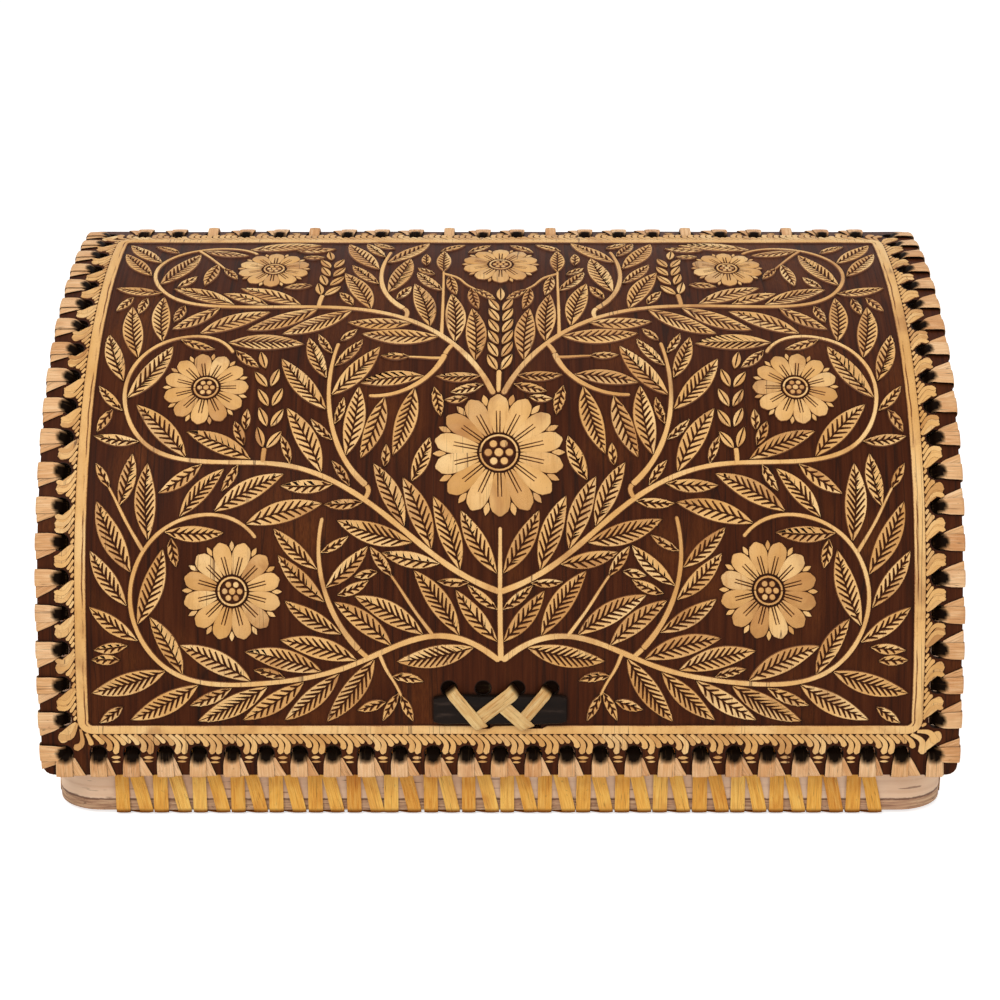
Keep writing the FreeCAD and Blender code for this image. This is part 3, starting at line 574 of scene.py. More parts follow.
def bark_sheet(name, outer, inner, material, slot, replaced):
    """A punched sheet of the lid between two insets, cut out flat and laid on the section."""
    outline, _ = rounded_outline(LID_HALF, 0.0, LID_LENGTH, LID_CORNER, 2.5)
    square = np.array([(-1, -1), (1, -1), (1, 1), (-1, 1)]) * SLOT_HALF
    loops = [outline] + [circle(*hole) for hole in lid_holes] + [place + square for place in lid_slots]
    edges, start = [], 0
    for loop in loops:
        edges += [(start + k, start + (k + 1) % len(loop)) for k in range(len(loop))]
        start += len(loop)
    rings = [circle(x, s, radius + 0.7, 20) for x, s, radius in lid_holes]
    spots = np.stack(np.meshgrid(np.arange(-LID_HALF + SHEET_GRID, LID_HALF - 1, SHEET_GRID),
                                 np.arange(SHEET_GRID, LID_LENGTH - 1, SHEET_GRID)), -1).reshape(-1, 2)
    flat = np.concatenate([*loops, *rings, spots[off_holes(spots, 1.2, 0.8)]])
    made = geometry.delaunay_2d_cdt([Vector(p) for p in flat.tolist()], edges, [], 0, 1e-5)
    flat, faces = np.array([tuple(p) for p in made[0]]), np.array(made[2])
    middle = flat[faces].mean(1)
    # A thin triangle just inside a hole's edge has its middle nearer to the hole's than this
    keep = off_holes(middle, -0.048, 0)
    for side in (-1, 1):
        for s, way in ((LID_CORNER, -1), (LID_LENGTH - LID_CORNER, 1)):
            away = np.stack([middle[:, 0] * side - LID_HALF + LID_CORNER, (middle[:, 1] - s) * way], 1)
            keep &= ~((away > 0).all(1) & (np.hypot(*away.T) > LID_CORNER * 0.99))
    faces = faces[keep]
    sides = np.concatenate([faces[:, ends] for ends in ([0, 1], [1, 2], [2, 0])]).tolist()
    known = {tuple(pair) for pair in sides}
    rim = np.array([pair for pair in sides if (pair[1], pair[0]) not in known])
    count = len(flat)
    wave = ripple(*flat.T) if outer == 0 else 0.0
    points = np.concatenate([lid_point(*flat.T, -outer + wave), lid_point(*flat.T, -inner)])
    grains = np.tile(with_third(flat, 0.0), (2, 1))
    walls = np.stack([rim[:, 1], rim[:, 0], rim[:, 0] + count, rim[:, 1] + count], 1)
    # Tone for near black round the holes and on every cut edge: charred bark, and painted shade inside the
    # holes
    burnt_and_shade = np.where(off_holes(flat, 0.1, -math.inf), 0.0, 0.9)
    shell = Shell()
    shell.add(points, [faces, faces[:, ::-1] + count], np.tile(burnt_and_shade, 2), grains)
    shell.add(points, [walls], 1.0, grains)
    shell.build(name, material, "lid", slot, replaced)


bark_sheet("lid_bark", 0.0, SHEET, DARK, "bark_embossed", ["lid_sheet"])
bark_sheet("lid_inner_bark", SHEET + LAYER_GAP, LID_THICK, BARK_PLAIN, "bark_plain", ["lid_lining"])


# ---------------------------------------------------------------- frame band and border

FRAME_HALF = 159.75
FRAME_LOW = 16.7
FRAME_HIGH = LID_LENGTH - 16.8
FRAME_SIDE_WIDTH = 4.3
FRAME_LOW_WIDTH = 3.4
FRAME_HIGH_WIDTH = 4.2
FRAME_RADIUS = 5.6
BAND_RISE = 0.75
GROOVE_TONE = 0.62

# Inset as a share of the frame's width, height off the lid and tone
BAND_PROFILE = (
    (-0.06, -SINK, 1.0), (0.0, 0.5, 0.8), (0.07, BAND_RISE, 0.15), (0.35, BAND_RISE + 0.04, 0.0),
    (0.63, BAND_RISE, 0.1), (0.68, 0.56, GROOVE_TONE), (0.73, 0.56, GROOVE_TONE),
    (0.78, BAND_RISE - 0.03, 0.1), (0.93, BAND_RISE - 0.08, 0.15), (1.0, 0.5, 0.8), (1.06, -SINK, 1.0))


def frame_band():
    """The flat band round the field, with a groove that fades in and out at the sides."""
    path, outs = rounded_outline(FRAME_HALF, FRAME_LOW, FRAME_HIGH, FRAME_RADIUS, 2.0)
    count = len(path)
    share = np.abs(outs) / np.abs(outs).sum(1, keepdims=True)
    wide = share[:, 0] * FRAME_SIDE_WIDTH
    wide += share[:, 1] * np.where(outs[:, 1] < 0, FRAME_LOW_WIDTH, FRAME_HIGH_WIDTH)
    for x in SLOT_XS:
        wide[(np.abs(path[:, 0] - x) < SLOT_HALF[0] + 0.8) & (outs[:, 1] < -0.9)] = FRAME_LOW_WIDTH - 1.1
    k = np.arange(count)
    wander = 0.12 * np.sin(k * 0.37) + 0.09 * np.sin(k * 1.13 + 1)
    groove = np.clip(0.75 + 0.5 * np.sin(k * 0.21) + 0.3 * np.sin(k * 0.9), 0, 1)
    groove = np.where(np.abs(outs[:, 0]) > 0.7, groove, 0.12)
    inset, height, tone = np.array(BAND_PROFILE).T[..., None]
    inward = inset * wide + wander * ((inset > 0.3) & (inset < 0.95))
    flat = (path - outs * inward[..., None]).reshape(-1, 2)
    level = np.where(tone == GROOVE_TONE, BAND_RISE - 0.02 - groove * 0.22, height)
    tones = np.where(tone == GROOVE_TONE, groove * 0.75, tone)
    shell = Shell()
    shell.add(lid_point(*flat.T, level.ravel() + ripple(*flat.T)),
              ring_faces(len(BAND_PROFILE), count, closed=True), tones.ravel(), with_third(flat, 0.0))
    shell.build("frame_band", GOLD, "lid", "bark_embossed", ["openwork_frame"])


STROKE_PITCH = 2.6
STROKE_SLIT = 0.32
STROKE_STEP = 0.15
FRONT_LEAN = 0.85
SIDE_LEAN = 1.02
FRONT_LOBES = 8.6
SIDE_LOBES = 6.4
HOLE_SPACE = 0.35
CURL = 0.25
LOBE_LINE = [(0.2, -5.6), (1.8, -4.0), (3.6, -1.9), (5.6, 0.1), (7.4, 0.5)]
LOBE_WIDTH = 3.9
LOBE_HEIGHT = 0.44
STROKE_EDGE = {"flare": 0.16, "inset": 0.1, "strip": True}


def stroke_line(spot, out, lean, lobes, width, holes):
    """A stroke's middle line, from the frame outwards until it nears a hole or the lid's edge."""
    line, reach = [spot], 0.0
    while len(line) < 80:
        turn = lean - (lean + CURL) * min(1.0, max(0.0, (reach - 1.6) / 3.4)) ** 1.4
        spot = spot + (out * math.cos(turn) + left_of(out) * math.sin(turn)) * STROKE_STEP
        reach += STROKE_STEP * math.cos(turn)
        near_hole = np.min(np.hypot(*(holes[:, :2] - spot).T) - holes[:, 2])
        edge = min(LID_HALF - abs(spot[0]), spot[1], LID_LENGTH - spot[1])
        if reach > 0.7 and (near_hole < width / 2 + HOLE_SPACE or edge < lobes):
            break
        line.append(spot)
    return points_at(line, np.linspace(0, 1, len(line)), np.linspace(0, 1, 11))


def gadroon():
    """Slanted strokes round the frame that curl between the holes like waves."""
    shell = Shell()
    path, outs = rounded_outline(FRAME_HALF, FRAME_LOW, FRAME_HIGH, FRAME_RADIUS, 0.5)
    path, outs = (np.concatenate([rows, rows[:1]]) for rows in (path, outs))
    run = run_of(path)
    number = round(run[-1] / STROKE_PITCH)
    holes = np.array([hole for hole in lid_holes if hole[2] > STRAP_HOLE_RADIUS])
    share = np.linspace(0, 1, 11)
    for index in range(number):
        at = (index + 0.5 + rng.uniform(-0.06, 0.06)) * run[-1] / number
        out = unit(points_at(outs, run, at))
        lean, lobes = (SIDE_LEAN, SIDE_LOBES) if abs(out[0]) > 0.7 else (FRONT_LEAN, FRONT_LOBES)
        width = STROKE_PITCH * math.cos(lean) - STROKE_SLIT
        line = stroke_line(points_at(path, run, at) + out * 0.15, out, lean, lobes, width, holes)
        length = run_of(line)[-1]
        most, growth = (2.0, 0.6) if 0.12 < abs(out[0]) < 0.995 else (1.1, 0.4)
        grow = min(most, growth * max(0.0, length - 4))
        widths = width * (0.92 + 0.1 * np.minimum(1, share * 1.6)) + grow * share ** 1.6
        widths += rng.uniform(-0.06, 0.06)
        rounded = min(0.45, 0.8 / length)
        tip = np.clip((share - 1 + rounded) / rounded, 0, 0.97)
        emboss(shell, bar_outline(line, widths * np.sqrt(1 - tip ** 2) + 0.12),
               height=0.55 + rng.uniform(-0.06, 0.06), seed=index * 0.13, **STROKE_EDGE)
    local = smooth_line(LOBE_LINE, 4)
    share = np.linspace(0, 1, len(local))
    tip = np.clip((share - 0.72) / 0.28, 0, 0.97)
    widths = (1.2 + LOBE_WIDTH * share ** 0.8) * np.sqrt(1 - tip ** 2) + 0.12
    for side in (-1, 1):
        for low, high in zip(SIDE_HOLES[:-1], SIDE_HOLES[1:]):
            line = np.stack([side * (FRAME_HALF + local[:, 0]), (low + high) / 2 + side * local[:, 1]], 1)
            emboss(shell, bar_outline(line, widths), LOBE_HEIGHT, seed=low * 0.31 + side, **STROKE_EDGE)
    rim_marks(shell)
    shell.build("gadroon_border", GOLD, "lid", "bark_embossed")


def rim_marks(shell):
    """Small raised pointed ovals on the rim between the holes."""
    share = np.linspace(-1, 1, 7)
    for xs, s, way in ((FRONT_HOLES, EDGE_MARGIN, 1), (REAR_PLACES, REAR_S, -1)):
        for first, second in zip(xs, xs[1:]):
            for depth, size, width in ((-1.6, 4.0, 1.3), (-3.3, 3.6, 0.8)):
                up = s + way * (depth + rng.uniform(-0.2, 0.2))
                across = (first + second) / 2 + way * rng.uniform(-0.4, 0.4)
                length = size + rng.uniform(-0.8, 0.4)
                line = np.stack([across + way * share * length / 2, np.full(7, up)], 1)
                emboss(shell, bar_outline(line, width * (1 - share ** 2) + 0.12), height=0.35,
                       flare=0.15, inset=0.12, seed=across, strip=True)


frame_band()
gadroon()


# ---------------------------------------------------------------- the field's ornament

# Places and sizes as the solids have them: shares of the field, across from its middle line and up
# from its front edge; everything off the middle line is mirrored.
GAP = 0.7
FIELD_HALF = FRAME_HALF - FRAME_SIDE_WIDTH
FIELD_LOW = FRAME_LOW + FRAME_LOW_WIDTH
FIELD_HIGH = FRAME_HIGH - FRAME_HIGH_WIDTH
REACH = min(FIELD_HALF, (FIELD_HIGH - FIELD_LOW) * 2 / 3)
FIELD_GAP = 1.2
HANDLE_SPACE = 4.0
HANDLE_TOP = 5.6
HANDLE_X = STRAP_LENGTH / 2 + HANDLE_SPACE
HANDLE_S = STRAP_S + STRAP_WIDTH / 2 + HANDLE_TOP + HANDLE_SPACE
# Across, up, radius as a share of REACH, and petals
FLOWERS = (
    (0.0, 0.444, 0.161, 14), (0.0, 0.893, 0.1, 10), (0.65, 0.222, 0.119, 12), (0.727, 0.568, 0.106, 11),
    (0.592, 0.88, 0.093, 10))
FLOWER_CORE = 0.3
STEM_WIDTH = 2.2
STEM_TAPER = 0.4
MIDDLE_STEM = ((0.0, 0.107), (0.0, 0.214), (0.0, 0.32))
SIDE_STEMS = (
    ((0.02, 0.115), (0.18, 0.145), (0.37, 0.098), (0.592, 0.072), (0.798, 0.094), (0.894, 0.205),
     (0.823, 0.316), (0.669, 0.341), (0.592, 0.307)),
    ((0.02, 0.222), (0.154, 0.273), (0.309, 0.359), (0.502, 0.423), (0.695, 0.431), (0.862, 0.461),
     (0.926, 0.564), (0.843, 0.662), (0.72, 0.675), (0.663, 0.641)),
    ((0.02, 0.564), (0.103, 0.649), (0.257, 0.726), (0.476, 0.756), (0.669, 0.756), (0.836, 0.782),
     (0.894, 0.863), (0.823, 0.948), (0.708, 0.965), (0.643, 0.94)))
BRANCHES = (
    ((0.345, 0.125), (0.398, 0.175), (0.435, 0.25), (0.43, 0.34)),
    ((0.325, 0.392), (0.395, 0.458), (0.42, 0.55), (0.4, 0.66)),
    ((0.245, 0.748), (0.298, 0.8), (0.31, 0.87), (0.29, 0.95)),
    ((0.135, 0.635), (0.17, 0.592), (0.235, 0.56), (0.32, 0.55)))
EARS = (
    ((0.0, 0.6), (0.0, 0.69), (0.0, 0.77)), ((0.575, 0.455), (0.565, 0.53), (0.58, 0.605)),
    ((0.455, 0.79), (0.44, 0.85), (0.445, 0.915)))
GRAIN_LENGTH = 9.0
GRAIN_WIDTH = 3.1
GRAIN_PITCH = 7.2
GRAIN_LEAN = 27.0
LEAF_SPACING = 6.6
LEAF_LENGTHS = (34.0, 31.0, 28.0, 25.0, 22.0, 19.0, 16.0, 13.0)
LEAF_SLIMNESS = 0.27
LEAF_LEANS = (46.0, 37.0, 58.0, 30.0, 68.0)
LEAF_BEND = 14.0
LEAF_ROOT = 0.15
LEAF_STEPS = 8


def field_point(across, up):
    """A place on the lid as (x, s)."""
    return across * FIELD_HALF, FIELD_LOW + up * (FIELD_HIGH - FIELD_LOW)


def heading_point(point, angle, reach, aside=0.0):
    """The point reach ahead of another at an angle, and aside to the left of it."""
    x = point[0] + reach * math.cos(angle) - aside * math.sin(angle)
    return x, point[1] + reach * math.sin(angle) + aside * math.cos(angle)


def spline(points, fine=400):
    """The smooth cubic through the points, as the solids' stems have it."""
    points = np.asarray(points, float)
    knots = run_of(points)
    count, step = len(points), np.diff(knots)
    near = min(4, count)
    matrix, right = np.eye(count), np.zeros((count, 2))
    # The slope at each end is that of the polynomial through the nearest points
    for end, some in ((0, slice(0, near)), (-1, slice(count - near, count))):
        right[end] = np.linalg.solve(np.vander(knots[some] - knots[end]), points[some])[-2]
    for k in range(1, count - 1):
        a, b = step[k - 1], step[k]
        matrix[k, k - 1:k + 2] = (b, 2 * (a + b), a)
        right[k] = 3 * (b * (points[k] - points[k - 1]) / a + a * (points[k + 1] - points[k]) / b)
    slopes = np.linalg.solve(matrix, right)
    t = np.arange(fine)[:, None] / fine
    rows = [(2 * t ** 3 - 3 * t ** 2 + 1) * points[k] + (t ** 3 - 2 * t ** 2 + t) * slopes[k] * step[k]
            + (3 * t ** 2 - 2 * t ** 3) * points[k + 1] + (t ** 3 - t ** 2) * slopes[k + 1] * step[k]
            for k in range(count - 1)]
    return np.concatenate([*rows, points[-1:]])


def smooth_path(places, spacing):
    """Evenly spaced (x, s, angle) along the smooth curve through some places of the field."""
    line = spline([field_point(*place) for place in places])
    run = run_of(line)
    at = np.linspace(0, run[-1], 2 * max(1, round(run[-1] / spacing / 2)) + 1)
    x, s, way_x, way_s = points_at(np.concatenate([line, np.gradient(line, axis=0)], 1), run, at).T
    return np.stack([x, s, np.arctan2(way_s, way_x)], 1).tolist()


def leaf_discs(base, angle, length, bend):
    """Discs that fill a leaf, for finding room for it."""
    discs, point = [], base
    for step in range(LEAF_STEPS):
        point = heading_point(point, angle + bend * (step + 0.5) / LEAF_STEPS, length / LEAF_STEPS)
        share = (step + 1) / LEAF_STEPS
        discs.append((*point, length * LEAF_SLIMNESS / 2 * 4 * share * (1 - share)))
    return discs


def is_clear(discs, placed):
    """Whether discs (x, s, radius) keep their gap to all placed ones, the frame and the handle."""
    for x, s, radius in discs:
        reach = radius + FIELD_GAP
        if x < radius + GAP / 2 or x > FIELD_HALF - reach or (x < HANDLE_X and s < HANDLE_S + radius):
            return False
        if s < FIELD_LOW + reach or s > FIELD_HIGH - reach:
            return False
        for other_x, other_s, other_radius in placed:
            if math.hypot(x - other_x, s - other_s) < radius + other_radius + GAP:
                return False
    return True


def stem_leaves(path, placed):
    """Leaves by turns on the two sides of a stem, each the longest that has room."""
    found = []
    for index, (x, s, heading) in enumerate(path[1:]):
        side = 1 if index % 2 else -1
        for length, lean in [(a, math.radians(b)) for a in LEAF_LENGTHS for b in LEAF_LEANS]:
            angle = heading + side * lean
            base = heading_point((x, s), angle, (STEM_WIDTH / 2 + GAP) / math.sin(lean))
            leaf = (base, angle, length * (1 - LEAF_ROOT), -side * math.radians(LEAF_BEND))
            discs = leaf_discs(*leaf)
            if is_clear(discs, placed):
                placed += discs
                found.append(leaf)
                break
    return found


def main_leaves():
    """The root, heading, length and bend of each main leaf, as the solids have them."""
    placed = [(*field_point(across, up), share * REACH + GAP) for across, up, share, _ in FLOWERS]
    stems = (MIDDLE_STEM, *SIDE_STEMS, *BRANCHES)
    for stem in stems:
        placed += [(x, s, STEM_WIDTH / 2) for x, s, _ in smooth_path(stem, STEM_WIDTH)]
    for ear in EARS:
        path = smooth_path(ear, GRAIN_PITCH)
        x, s, heading = path[-1]
        placed += [(x, s, GRAIN_LENGTH / 2) for x, s, _ in path]
        placed.append((*heading_point((x, s), heading, GRAIN_LENGTH / 2), GRAIN_LENGTH / 2))
    leaves = []
    for stem in stems[1:] + stems[:1]:
        leaves += stem_leaves(smooth_path(stem, LEAF_SPACING), placed)
    return leaves


# A grid over the right half of the field tells what is taken
CELL = 0.5
FIELD_X = FIELD_HALF - 1.0
MIDLINE = 0.6
EDGE_GAP = 0.5
CLEARANCE = 0.55
FREE_LOW = np.array([MIDLINE, FIELD_LOW + EDGE_GAP])
FREE_HIGH = np.array([FIELD_X, FIELD_HIGH - EDGE_GAP])

taken = np.zeros((int(FIELD_X / CELL) + 1, int((FIELD_HIGH - FIELD_LOW) / CELL) + 1), bool)
taken[:int(HANDLE_X / CELL), :int((HANDLE_S - FIELD_LOW) / CELL)] = True
stem_points = []


def inside_cells(outline):
    """The cells of the field inside an outline, as index arrays, or None if it leaves the field."""
    low, high = outline.min(0), outline.max(0)
    if (low < FREE_LOW).any() or (high > FREE_HIGH).any():
        return None
    first = np.floor((low - (0, FIELD_LOW)) / CELL).astype(int)
    last = np.ceil((high - (0, FIELD_LOW)) / CELL).astype(int)
    cols, rows = np.meshgrid(*[np.arange(a, b + 1) for a, b in zip(first, last)], indexing="ij")
    cols, rows = np.minimum(cols, taken.shape[0] - 1), np.minimum(rows, taken.shape[1] - 1)
    x, s = cols * CELL, rows * CELL + FIELD_LOW
    inside = np.zeros(x.shape, bool)
    for (ax, ay), (bx, by) in zip(outline, np.roll(outline, -1, 0)):
        if ay != by:
            inside ^= ((ay > s) != (by > s)) & (x < (bx - ax) * (s - ay) / (by - ay) + ax)
    return cols[inside], rows[inside]


def is_free(outline, margin=CLEARANCE):
    if signed_area(outline) < 0:
        outline = outline[::-1]
    found = inside_cells(grown(outline, margin))
    return found is not None and len(found[0]) > 0 and not taken[found].any()


def claim(outline):
    """Marks an outline's cells as used, also where it runs over the middle."""
    taken[inside_cells(np.clip(outline, FREE_LOW, FREE_HIGH))] = True


def swayed(outline):
    """A slow drift of the whole design, so that its halves aren't copies of each other."""
    x, s = outline.T
    fade = np.minimum(FIELD_X - np.abs(x), np.minimum(s - FIELD_LOW, FIELD_HIGH - s)) / 14
    dx = 0.45 * np.sin(s / 31 + x / 57 + 0.4) + 0.25 * np.sin(s / 13 + x / 29)
    ds = 0.45 * np.sin(x / 37 + 1.1) + 0.25 * np.sin(x / 17 - s / 23)
    return outline + np.stack([dx, ds], 1) * np.clip(fade, 0, 1)[:, None]


def pair(shell, outline, mirrored=True, **look):
    """Embosses an outline, and unless told otherwise its mirror image."""
    for side in (1, -1) if mirrored else (1,):
        emboss(shell, swayed((outline * (side, 1))[::side]), seed=rng.uniform(0, 40), **look)


def bent(local, base, angle, length, bend):
    """Local points, along and across an axis, laid on an axis that bends."""
    a, b = np.asarray(local, float).T
    turn = angle + bend * a / length
    if abs(bend) < 0.01:
        centre = np.outer(a, direction(angle))
    else:
        rise = [np.sin(turn) - math.sin(angle), math.cos(angle) - np.cos(turn)]
        centre = length / bend * np.stack(rise, 1)
    return np.asarray(base) + centre + b[:, None] * np.stack([-np.sin(turn), np.cos(turn)], 1)


VEIN_GAP = 0.5
VEIN_SLIT = 1.0
VEIN_TIP = 0.21
VEIN_PITCH = 2.7
VEIN_LONGEST = 9.0
LEAST_LEAF_WIDTH = 3.4


def leaf_width(a, length, width):
    share = np.clip(np.asarray(a) / length, 0, 1)
    return width / 2 * np.sin(math.pi * share ** 0.95) ** 0.86


def leaf_edge(length, width, count=None):
    """A leaf's silhouette, for finding room."""
    a = np.linspace(0, length, count or max(8, int(length / 1.6)))
    b = leaf_width(a, length, width)
    return np.concatenate([np.stack([a, -b], 1), np.stack([a, b], 1)[::-1][1:-1]])


def leaf_half(length, width, side, pitch, reach, lean):
    """Half of a leaf: a comb whose teeth are parted by the side veins."""
    cos, sin = math.cos(lean), math.sin(lean)
    mouth = VEIN_SLIT / 2 / sin
    inner = [(0.25, VEIN_GAP * 0.3)]
    a = 0.09 * length + pitch * (0.2 if side > 0 else 0.55)
    while a < 0.88 * length:
        gap = VEIN_GAP / 2 * min(1.0, 0.2 + (length - a) / (0.3 * length))
        t = 0.0
        while gap + t * sin < reach * leaf_width(a + t * cos, length, width) and t < VEIN_LONGEST:
            t += 0.12
        if t > 0.9:
            end_a, end_b = a + t * cos, gap + t * sin
            inner += [(a - mouth, gap), (end_a - VEIN_TIP * sin, end_b + VEIN_TIP * cos),
                      (end_a + VEIN_TIP * sin, end_b - VEIN_TIP * cos), (a + mouth, gap)]
        a += pitch
    inner.append((length * 0.985, 0.04))
    outer_a = np.linspace(length, 0, max(8, int(length / 1.5)))
    outline = np.array([*inner, *zip(outer_a, leaf_width(outer_a, length, width))]) * (1, side)
    return outline[::side]


def add_leaf(shell, base, angle, length, width, bend):
    pitch = VEIN_PITCH * rng.uniform(0.9, 1.12)
    reach = rng.uniform(0.74, 0.88)
    lean = math.radians(rng.uniform(34, 44))
    for side in (1, -1):
        half = leaf_half(length, width, side, pitch, reach, lean)
        pair(shell, bent(half, base, angle, length, bend), flare=0.42, inset=0.15)
    claim(bent(leaf_edge(length, width), base, angle, length, bend))


def try_leaf(shell, base, angle, lengths, bend=0.0, slim=0.30, root=0.0):
    """Adds the longest leaf that has room, if one has; root is the share that may touch its stem."""
    for length in lengths:
        width = max(LEAST_LEAF_WIDTH, length * slim)
        edge = leaf_edge(length, width, 14)
        edge = edge[edge[:, 0] >= root * length]
        if is_free(bent(edge, base, angle, length, bend)):
            add_leaf(shell, base, angle, length, width, bend)
            return True
    return False


def petal_outline(length, width, slits, depth=0.55):
    """A petal, blunt at its far end, with slits from its base."""
    share = np.linspace(0, 1, 10)
    half = width / 2 * (0.42 + 0.58 * np.sin(math.pi / 2 * np.minimum(1, share / 0.62)))
    half = half * np.sqrt(1 - np.clip((share - 0.66) / 0.34, 0, 0.99) ** 2)
    a = share * length
    points = [*zip(a, -half), *zip(a[::-1], half[::-1])]
    for index in reversed(range(slits)):
        b = (index + 1 - (slits + 1) / 2) * half[0] * 2 / (slits + 1)
        far = b * (1 + 0.5 * depth)
        points += [(0, b + 0.2), (depth * length, far + 0.12), (depth * length, far - 0.12), (0, b - 0.2)]
    return np.array(points)


RING_WIDTH = 0.85
DOT_SHARE = 0.2
DOT_HEIGHT = 0.7
FIRM_EDGE = {"flare": 0.2}


def daisy(shell, centre, radius, petals, mirrored=True):
    """A round flower: a dotted centre in a ring, petals, and points between them."""
    centre = np.array(centre, float)
    core = radius * FLOWER_CORE
    placed = []
    for start in (0, math.pi):
        line = arc(*centre, core - RING_WIDTH / 2, start + np.linspace(0.02, math.pi - 0.02, 13))
        ring = bar_outline(line, np.full(13, RING_WIDTH))
        placed.append((ring, {"strip": True, "inset": 0.15, **FIRM_EDGE}))
    dot = core * DOT_SHARE
    dots = [circle(*centre, dot * 1.15, 12)]
    dots += [circle(*(centre + (core - 1.0) * 0.62 * direction(k * math.pi / 3)), dot, 12) for k in range(6)]
    placed += [(outline, {"height": DOT_HEIGHT}) for outline in dots]
    length = radius - core - GAP
    width = 2 * math.pi * radius * 0.785 / petals - GAP
    share = np.linspace(0, 1, 5)
    for index in range(petals):
        angle = (index + 0.5) * 2 * math.pi / petals
        outline = petal_outline(length, width, 2 if width > 4.5 else 1)
        placed.append((bent(outline, centre + (core + GAP) * direction(angle), angle, length, 0), FIRM_EDGE))
        line = centre + np.outer(radius * (1.01 - 0.2 * (1 - share)), direction(angle + math.pi / petals))
        widths = 0.1 * radius * np.sin(math.pi * np.clip(share, 0.06, 0.97))
        placed.append((bar_outline(line, widths), {"strip": True, "flare": 0.15, "inset": 0.12}))
    for outline, look in placed:
        pair(shell, outline, mirrored, **look)
    claim(circle(*centre, radius + 0.4, 40))


def add_stem(shell, line, thick, thin, mirrored=True):
    """Raises a stem along points of the lid, narrowing from thick to thin."""
    line = np.asarray(line, float)
    widths = np.linspace(thick, thin, len(line)) * (1 + 0.05 * np.sin(np.arange(len(line)) * 0.9))
    ends = [line[:1] + (line[1] - line[0]) * 0.25, line[-1:] + (line[-2] - line[-1]) * 0.25]
    line = np.concatenate([line[:1], ends[0], line[1:-1], ends[1], line[-1:]])
    widths = np.array([thick * 0.45, *widths, thin * 0.45])
    look = {"strip": True, "flare": 0.4, "inset": 0.16}
    if mirrored:
        pair(shell, bar_outline(line, widths), **look)
    else:
        emboss(shell, swayed(bar_outline(line, widths)), **look)
    for first in range(len(line) - 1):
        part = slice(first, first + 2)
        claim(bar_outline(line[part], widths[part] + 0.3))
    stem_points.extend(line.tolist())


def join(shell, line, known):
    """A short stalk from a line's first point back to the nearest known stem, where it has room."""
    root = np.asarray(line[0], float)
    back = unit(root - line[1])
    t = np.linspace(0, 1, 6)[:, None]
    for target in known[np.argsort(np.hypot(*(known - root - back * 3).T))[:30:3]]:
        knee = root + back * 0.5 * np.linalg.norm(target - root)
        stalk = (1 - t) ** 2 * target + 2 * t * (1 - t) * knee + t ** 2 * root
        if is_free(bar_outline(stalk[2:5], np.full(3, 1.3)), 0.2):
            add_stem(shell, stalk, 1.6, 1.9)
            return


def along(line, at):
    """The point and heading at a length along a line."""
    run = run_of(line)
    at = min(max(at, 0.0), run[-1] - 0.6)
    spot, ahead = points_at(line, run, [at, at + 0.5])
    return spot, math.atan2(*(ahead - spot)[::-1])


TWIG_SPACING = 14
TWIG_LEANS = (46, 37, 58, 30, 68)
TWIG_LEAVES = (24, 21, 18, 15, 12)


def dress_stem(shell, line):
    """Leaves along a thin branch, in turn on its two sides."""
    total = run_of(line)[-1]
    side, at = 1, total * 0.16
    while at < total * 0.93:
        spot, heading = along(line, at)
        for lean in TWIG_LEANS:
            turn = heading + side * math.radians(lean)
            if try_leaf(shell, spot + 0.5 * direction(turn), turn, TWIG_LEAVES, root=0.13,
                        bend=-side * rng.uniform(0.05, 0.4), slim=0.29):
                break
        side = -side
        at += TWIG_SPACING * rng.uniform(0.44, 0.56)


def room():
    """For each free cell, about how far it is from anything else."""
    depth, free = np.zeros(taken.shape), ~taken
    while free.any():
        depth += free
        inner = np.zeros_like(free)
        inner[1:-1, 1:-1] = (free[1:-1, 1:-1] & free[:-2, 1:-1] & free[2:, 1:-1]
                             & free[1:-1, :-2] & free[1:-1, 2:])
        free = inner
    return depth * CELL


def sprout(stems, leaves, limit, count):
    """Branches from the nearest stem into the widest gaps, each with its leaves."""
    skipped = np.zeros(taken.shape, bool)
    reach = int(limit / CELL)
    for _ in range(count):
        depth = room()
        depth[skipped] = 0
        cell = np.unravel_index(np.argmax(depth), depth.shape)
        if depth[cell] < limit:
            return
        spot = np.array(cell) * CELL + (0, FIELD_LOW)
        known = np.array(stem_points)
        found = False
        for root in known[np.argsort(np.hypot(*(known - spot).T))[:60:3]]:
            away = spot - root
            way = away / max(np.linalg.norm(away), 1e-6)
            curl = left_of(way) * rng.uniform(-0.12, 0.12) * np.linalg.norm(away)
            line = smooth_line([root, root + away * 0.5 + curl, spot, spot + way * depth[cell] * 0.55], 24)
            run = run_of(line)
            line = points_at(line, run, np.linspace(0, run[-1], max(4, int(run[-1] / 1.8))))
            clear = line[np.hypot(*(line - root).T) > 2.0]
            if len(clear) > 3 and is_free(bar_outline(clear, np.full(len(clear), 1.4)), 0.4):
                _, heading = along(line, 1e9)
                root_point = line[-1] - 0.3 * direction(heading)
                found = try_leaf(leaves, root_point, heading, (20, 17, 14, 11), root=0.12)
            if found:
                add_stem(stems, line, 1.4, 0.9)
                dress_stem(leaves, line)
                break
        low = np.maximum(np.array(cell) - reach, 0)
        skipped[low[0]:cell[0] + reach, low[1]:cell[1] + reach] |= not found


